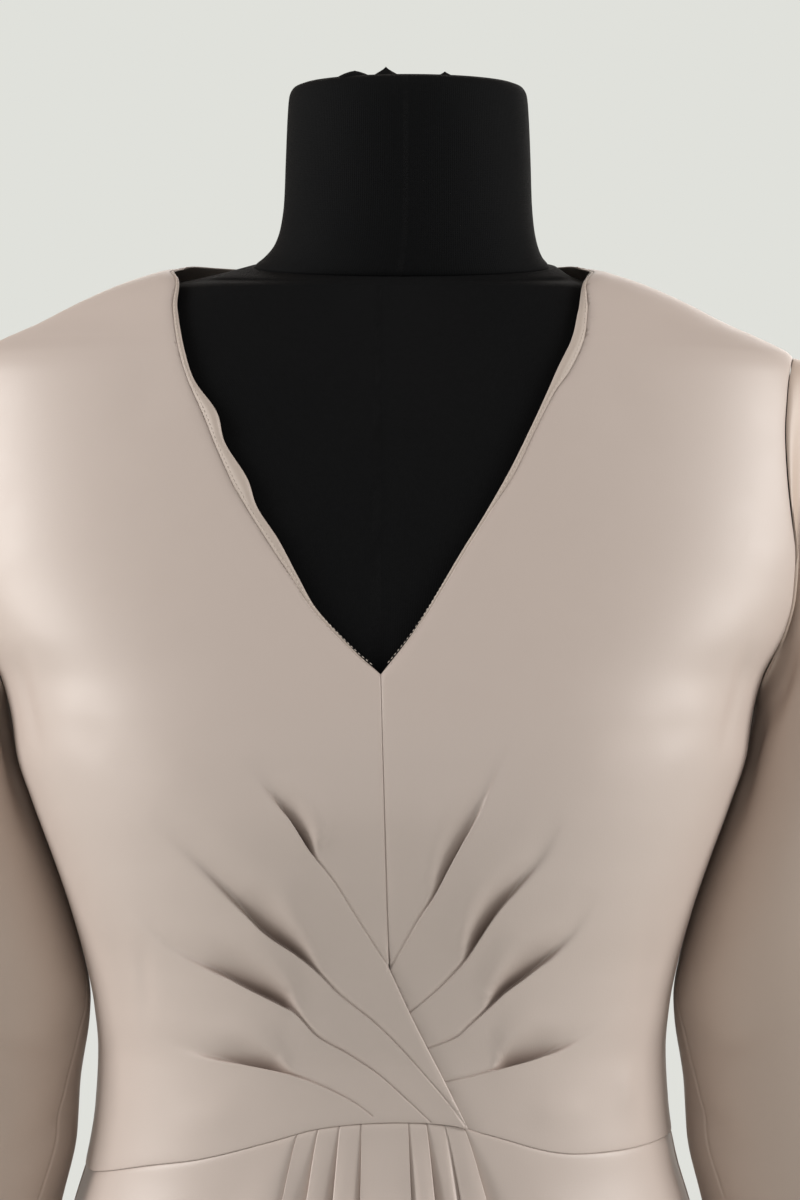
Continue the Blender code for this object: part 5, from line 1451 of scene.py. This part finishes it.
class DressForm(bpy.types.PropertyGroup):
    """Colours of the dress form and its stand."""
    jersey_colour: FloatVectorProperty(
        name="Jersey", description="Colour of the form's cover", subtype="COLOR",
        default=(0.0026, 0.0028, 0.0031), min=0, max=1)
    paint_colour: FloatVectorProperty(
        name="Base Paint", description="Colour of the base plate and the collar",
        subtype="COLOR", default=(0.018, 0.018, 0.020), min=0, max=1)
    steel_colour: FloatVectorProperty(
        name="Pole Steel", description="Colour of the pole", subtype="COLOR",
        default=(0.60, 0.60, 0.61), min=0, max=1)
    metal_colour: FloatVectorProperty(
        name="Zip Metal", description="Colour of the slider and its pull tab",
        subtype="COLOR", default=(0.47, 0.42, 0.36), min=0, max=1)


class DressStage(bpy.types.PropertyGroup):
    """Sizes, colours and lights of the studio."""
    ground_colour: FloatVectorProperty(
        name="Background", description="Colour of the floor and the background",
        subtype="COLOR", default=(0.745, 0.752, 0.710), min=0, max=1)
    side_power: FloatProperty(
        name="Side Lights", description="Power of each side softbox",
        default=76.0, min=0.0, max=500.0, unit="POWER")
    front_power: FloatProperty(
        name="Front Light", description="Power of the light above the camera",
        default=14.0, min=0.0, max=500.0, unit="POWER")
    ambient: FloatProperty(
        name="Ambient", description="Strength of the room's own light",
        default=0.045, min=0.0, max=2.0)
    wall_gloss: FloatProperty(
        name="Wall Gloss", description="How strongly the pale walls show in glossy cloth",
        default=0.55, min=0.0, max=2.0)
    top_power: FloatProperty(
        name="Overhead Light", description="Power of the softbox overhead",
        default=6.0, min=0.0, max=500.0, unit="POWER")
    lens: FloatProperty(
        name="Lens", description="Focal length of the camera",
        default=0.12245, min=0.02, max=0.4, unit="CAMERA")


# ------------------------------------------------------------------------ the studio


def make_floor(stage):
    """The ground: matt round the stand, and further out as bright as the background."""
    f = Finish("studio_floor", stage.ground_colour)
    length = f.node("ShaderNodeVectorMath", {"operation": "LENGTH"}, {0: f.body()}, out=1)
    far = f.node("ShaderNodeMapRange", {"interpolation_type": "SMOOTHSTEP"},
                 {"Value": length, "From Min": 0.45, "From Max": 1.7})
    matt = f.node("ShaderNodeBsdfDiffuse", None, {"Color": (0.80, 0.80, 0.78, 1.0)})
    glow = f.node("ShaderNodeEmission", None, {
        "Color": tinted(stage.ground_colour, 1, 1, 1), "Strength": 1.0})
    f.end("ShaderNodeOutputMaterial",
          f.node("ShaderNodeMixShader", None, {0: far, 1: matt, 2: glow}))
    count = FLOOR_SIDES
    points, faces = [(0.0, 0.0, 0.0)], []
    for r in FLOOR_RINGS:
        points += [(r * math.cos(2 * math.pi * k / count), r * math.sin(2 * math.pi * k / count),
                    0.0) for k in range(count)]
    for k in range(count):
        faces.append((0, 1 + k, 1 + (k + 1) % count))
        for ring in range(len(FLOOR_RINGS) - 1):
            a, b = 1 + ring * count + k, 1 + ring * count + (k + 1) % count
            faces.append((a, a + count, b + count, b))
    floor = add_mesh("studio_floor", points, faces, f.material)


def make_room(stage):
    """The world: pale walls, which show in the silk's gloss more than they light it."""
    world = bpy.data.worlds.new("studio_room")
    world.use_nodes = True
    w = Nodes(world.node_tree)
    glow = w.node("ShaderNodeMapRange", None, {
        "Value": w.node("ShaderNodeLightPath", out="Is Glossy Ray"),
        "To Min": stage.ambient, "To Max": stage.wall_gloss})
    room = w.node("ShaderNodeBackground", None, {0: (1.0, 0.84, 0.71, 1.0), 1: glow})
    seen = w.node("ShaderNodeBackground", None, {0: tinted(stage.ground_colour, 1, 1, 1)})
    w.end("ShaderNodeOutputWorld", w.node("ShaderNodeMixShader", None, {
        0: w.node("ShaderNodeLightPath", out="Is Camera Ray"), 1: room, 2: seen}))
    bpy.context.scene.world = world


def make_lights(stage):
    """Softboxes at both sides, over the camera, overhead and behind."""
    warm, plain = (1.0, 0.985, 0.96), (1.0, 1.0, 1.0)
    for name, where, size, power, tint in (
            ("softbox_right_side", (-2.55, -0.46, 2.2), (1.1, 1.8), stage.side_power, warm),
            ("softbox_left_side", (2.55, -0.46, 2.2), (1.1, 1.8), stage.side_power * 0.9, warm),
            ("softbox_over_camera", (0.0, -2.8, 1.8), (2.4, 1.0), stage.front_power, plain),
            ("softbox_overhead", (0.0, -0.8, 4.2), (2.0, 2.0), stage.top_power, plain),
            ("softbox_behind", (0.6, 2.8, 2.3), (2.6, 1.6), stage.side_power * 0.42,
             (1.0, 0.99, 0.97))):
        light = bpy.data.lights.new(name, "AREA")
        light.shape = "RECTANGLE"
        light.size, light.size_y = size
        light.energy = power
        light.color = tint
        lamp = bpy.data.objects.new(name, light)
        lamp.location = where
        lamp.rotation_mode = "QUATERNION"
        lamp.rotation_quaternion = (Vector(LIT_POINT) - Vector(where)).to_track_quat("-Z", "Y")
        bpy.context.scene.collection.objects.link(lamp)


def make_camera(stage):
    """The camera, level and straight in front."""
    scene = bpy.context.scene
    lens = bpy.data.cameras.new("camera")
    lens.lens = stage.lens * 1000
    lens.sensor_width = 36.0
    lens.sensor_fit = "AUTO"
    camera = bpy.data.objects.new("camera", lens)
    camera.location = CAMERA_PLACE
    camera.rotation_euler = (math.pi / 2, 0.0, 0.0)
    scene.collection.objects.link(camera)
    scene.camera = camera
    scene.view_settings.view_transform = "Standard"
    scene.view_settings.look = "None"


# ------------------------------------------------------------------------ operators


def worn(piece, node):
    """Puts a finished piece of the dress in its CAD node's place."""
    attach(piece, DRESS_BODY)
    if node:
        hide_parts(node)
    return piece


class MakeBodice(bpy.types.Operator):
    """Makes the two tucked fronts and the two backs"""
    bl_idname = "dress.make_bodice"
    bl_label = "Bodice"

    def execute(self, context):
        sizes = context.scene.dress_cloth
        for side, hand in ((-1, "right"), (1, "left")):
            front = worn(bodice_front(side, sizes), f"bodice_front_{hand}")
            back = worn(bodice_back(side, sizes), f"bodice_back_{hand}")
        return {"FINISHED"}


class MakeFacings(bpy.types.Operator):
    """Makes the neck facings, which roll out along the V"""
    bl_idname = "dress.make_facings"
    bl_label = "Neck Facings"

    def execute(self, context):
        sizes = context.scene.dress_cloth
        for side, hand in ((-1, "right"), (1, "left")):
            front = worn(facing_front(side, sizes), f"facing_front_{hand}")
            back = worn(facing_back(side, sizes), f"facing_back_{hand}")
        return {"FINISHED"}


class MakeSleeves(bpy.types.Operator):
    """Makes the two long sleeves"""
    bl_idname = "dress.make_sleeves"
    bl_label = "Sleeves"

    def execute(self, context):
        sizes = context.scene.dress_cloth
        for side, hand in ((-1, "right"), (1, "left")):
            piece = worn(sleeve(side, sizes), f"sleeve_{hand}")
        return {"FINISHED"}


class MakeSkirt(bpy.types.Operator):
    """Makes the gathered front skirt and the two back skirts"""
    bl_idname = "dress.make_skirt"
    bl_label = "Skirt"

    def execute(self, context):
        sizes = context.scene.dress_cloth
        front = worn(skirt_front(sizes), "skirt_front")
        for side, hand in ((-1, "right"), (1, "left")):
            back = worn(skirt_back(side, sizes), f"skirt_back_{hand}")
        return {"FINISHED"}


class MakeZip(bpy.types.Operator):
    """Makes the zip's tape and teeth, and finishes its slider and pull tab"""
    bl_idname = "dress.make_zip"
    bl_label = "Zip"

    def execute(self, context):
        sizes = context.scene.dress_cloth
        heights = np.linspace(ZIP_TOP_Z, ZIP_END_Z, 150)
        across = np.linspace(-ZIP_TAPE_WIDTH / 2, ZIP_TAPE_WIDTH / 2, 9)
        g, z = np.meshgrid(across, heights)
        tape = kept_finish("tape_weave", tape_finish, tinted(sizes.facing_colour, 0.9, 0.9, 0.9))
        piece = add_grid("zip_tape_woven", raised(g, z, -(CLOTH_DEPTH + 1.3 * LAYER_GAP), True),
                         np.stack([g, z], axis=-1), tape, 0.0005)
        worn(piece, "zip_tape")
        line_z = np.linspace(ZIP_TOP_Z - 0.004, ZIP_END_Z + 0.004, 300)
        line = raised(0 * line_z, line_z, -0.0018, True)
        teeth = sew("zip_teeth", [line], 0.0013, 0.0042, 0.0009, thread(), math.pi / 2)
        worn(teeth, None)
        refinish(("zip_slider", "zip_pull"), kept_finish(
            "slider_metal", metal_finish, context.scene.dress_form_sizes.metal_colour, 0.30,
            (900, 900, 90)))
        return {"FINISHED"}


class MakeStitches(bpy.types.Operator):
    """Sews the understitching that shows along the V's edge"""
    bl_idname = "dress.make_stitches"
    bl_label = "Stitches"

    def execute(self, context):
        sizes = context.scene.dress_cloth
        lines = []
        for table in (NECKLINE_RIGHT, NECKLINE_LEFT):
            _, edge = neckline(table, 0.002)
            side = math.copysign(1, edge[0, 0])
            inner = edge + left_hand(edge) * side * -0.0010
            lines.append(raised(*inner[4:-3].T, -0.00030))
        neck = sew("neck_understitching", lines, sizes.stitch_pitch, 0.0015, 0.00032, thread())
        worn(neck, None)
        return {"FINISHED"}


class MakeForm(bpy.types.Operator):
    """Makes the jersey-covered torso and neck"""
    bl_idname = "dress.make_form"
    bl_label = "Dress Form"

    def execute(self, context):
        worn(form_torso(), "form_torso")
        worn(form_neck(), "form_neck")
        worn(neck_bunches(), None)
        return {"FINISHED"}


class MakeStand(bpy.types.Operator):
    """Finishes the collar, the pole and the base plate"""
    bl_idname = "dress.make_stand"
    bl_label = "Stand"

    def execute(self, context):
        sizes = context.scene.dress_form_sizes
        refinish(("stand_base", "stand_collar"), kept_finish(
            "powder_coat", painted_finish, sizes.paint_colour))
        refinish(("stand_pole",), kept_finish(
            "pole_steel", metal_finish, sizes.steel_colour, 0.28, (260, 260, 2400)))
        return {"FINISHED"}


class MakeStage(bpy.types.Operator):
    """Makes the floor, the studio lights and the camera"""
    bl_idname = "dress.make_stage"
    bl_label = "Stage"

    def execute(self, context):
        stage = context.scene.dress_stage
        make_floor(stage)
        make_room(stage)
        make_lights(stage)
        make_camera(stage)
        return {"FINISHED"}


STEPS = (MakeBodice, MakeFacings, MakeSleeves, MakeSkirt, MakeZip, MakeStitches, MakeForm,
         MakeStand, MakeStage)


class DressPanel(bpy.types.Panel):
    """Lists the dress's sizes and the steps that make it"""
    bl_idname = "VIEW3D_PT_dress"
    bl_label = "Silk Dress"
    bl_space_type = "VIEW_3D"
    bl_region_type = "UI"
    bl_category = "Dress"

    def draw(self, context):
        for group in ("dress_cloth", "dress_form_sizes", "dress_stage"):
            held = getattr(context.scene, group)
            box = self.layout.box()
            for name in held.bl_rna.properties.keys():
                if name not in ("rna_type", "name"):
                    box.prop(held, name)
        for step in STEPS:
            self.layout.operator(step.bl_idname)


CLASSES = (DressCloth, DressForm, DressStage, *STEPS, DressPanel)


def register():
    for kind in CLASSES:
        bpy.utils.register_class(kind)
    bpy.types.Scene.dress_cloth = PointerProperty(type=DressCloth)
    bpy.types.Scene.dress_form_sizes = PointerProperty(type=DressForm)
    bpy.types.Scene.dress_stage = PointerProperty(type=DressStage)


def unregister():
    for held in ("dress_cloth", "dress_form_sizes", "dress_stage"):
        delattr(bpy.types.Scene, held)
    for kind in reversed(CLASSES):
        bpy.utils.unregister_class(kind)


def main():
    register()
    bpy.ops.dress.make_form()
    bpy.ops.dress.make_bodice()
    bpy.ops.dress.make_facings()
    bpy.ops.dress.make_sleeves()
    bpy.ops.dress.make_skirt()
    bpy.ops.dress.make_zip()
    bpy.ops.dress.make_stitches()
    bpy.ops.dress.make_stand()
    bpy.ops.dress.make_stage()


if __name__ == "__main__":
    main()
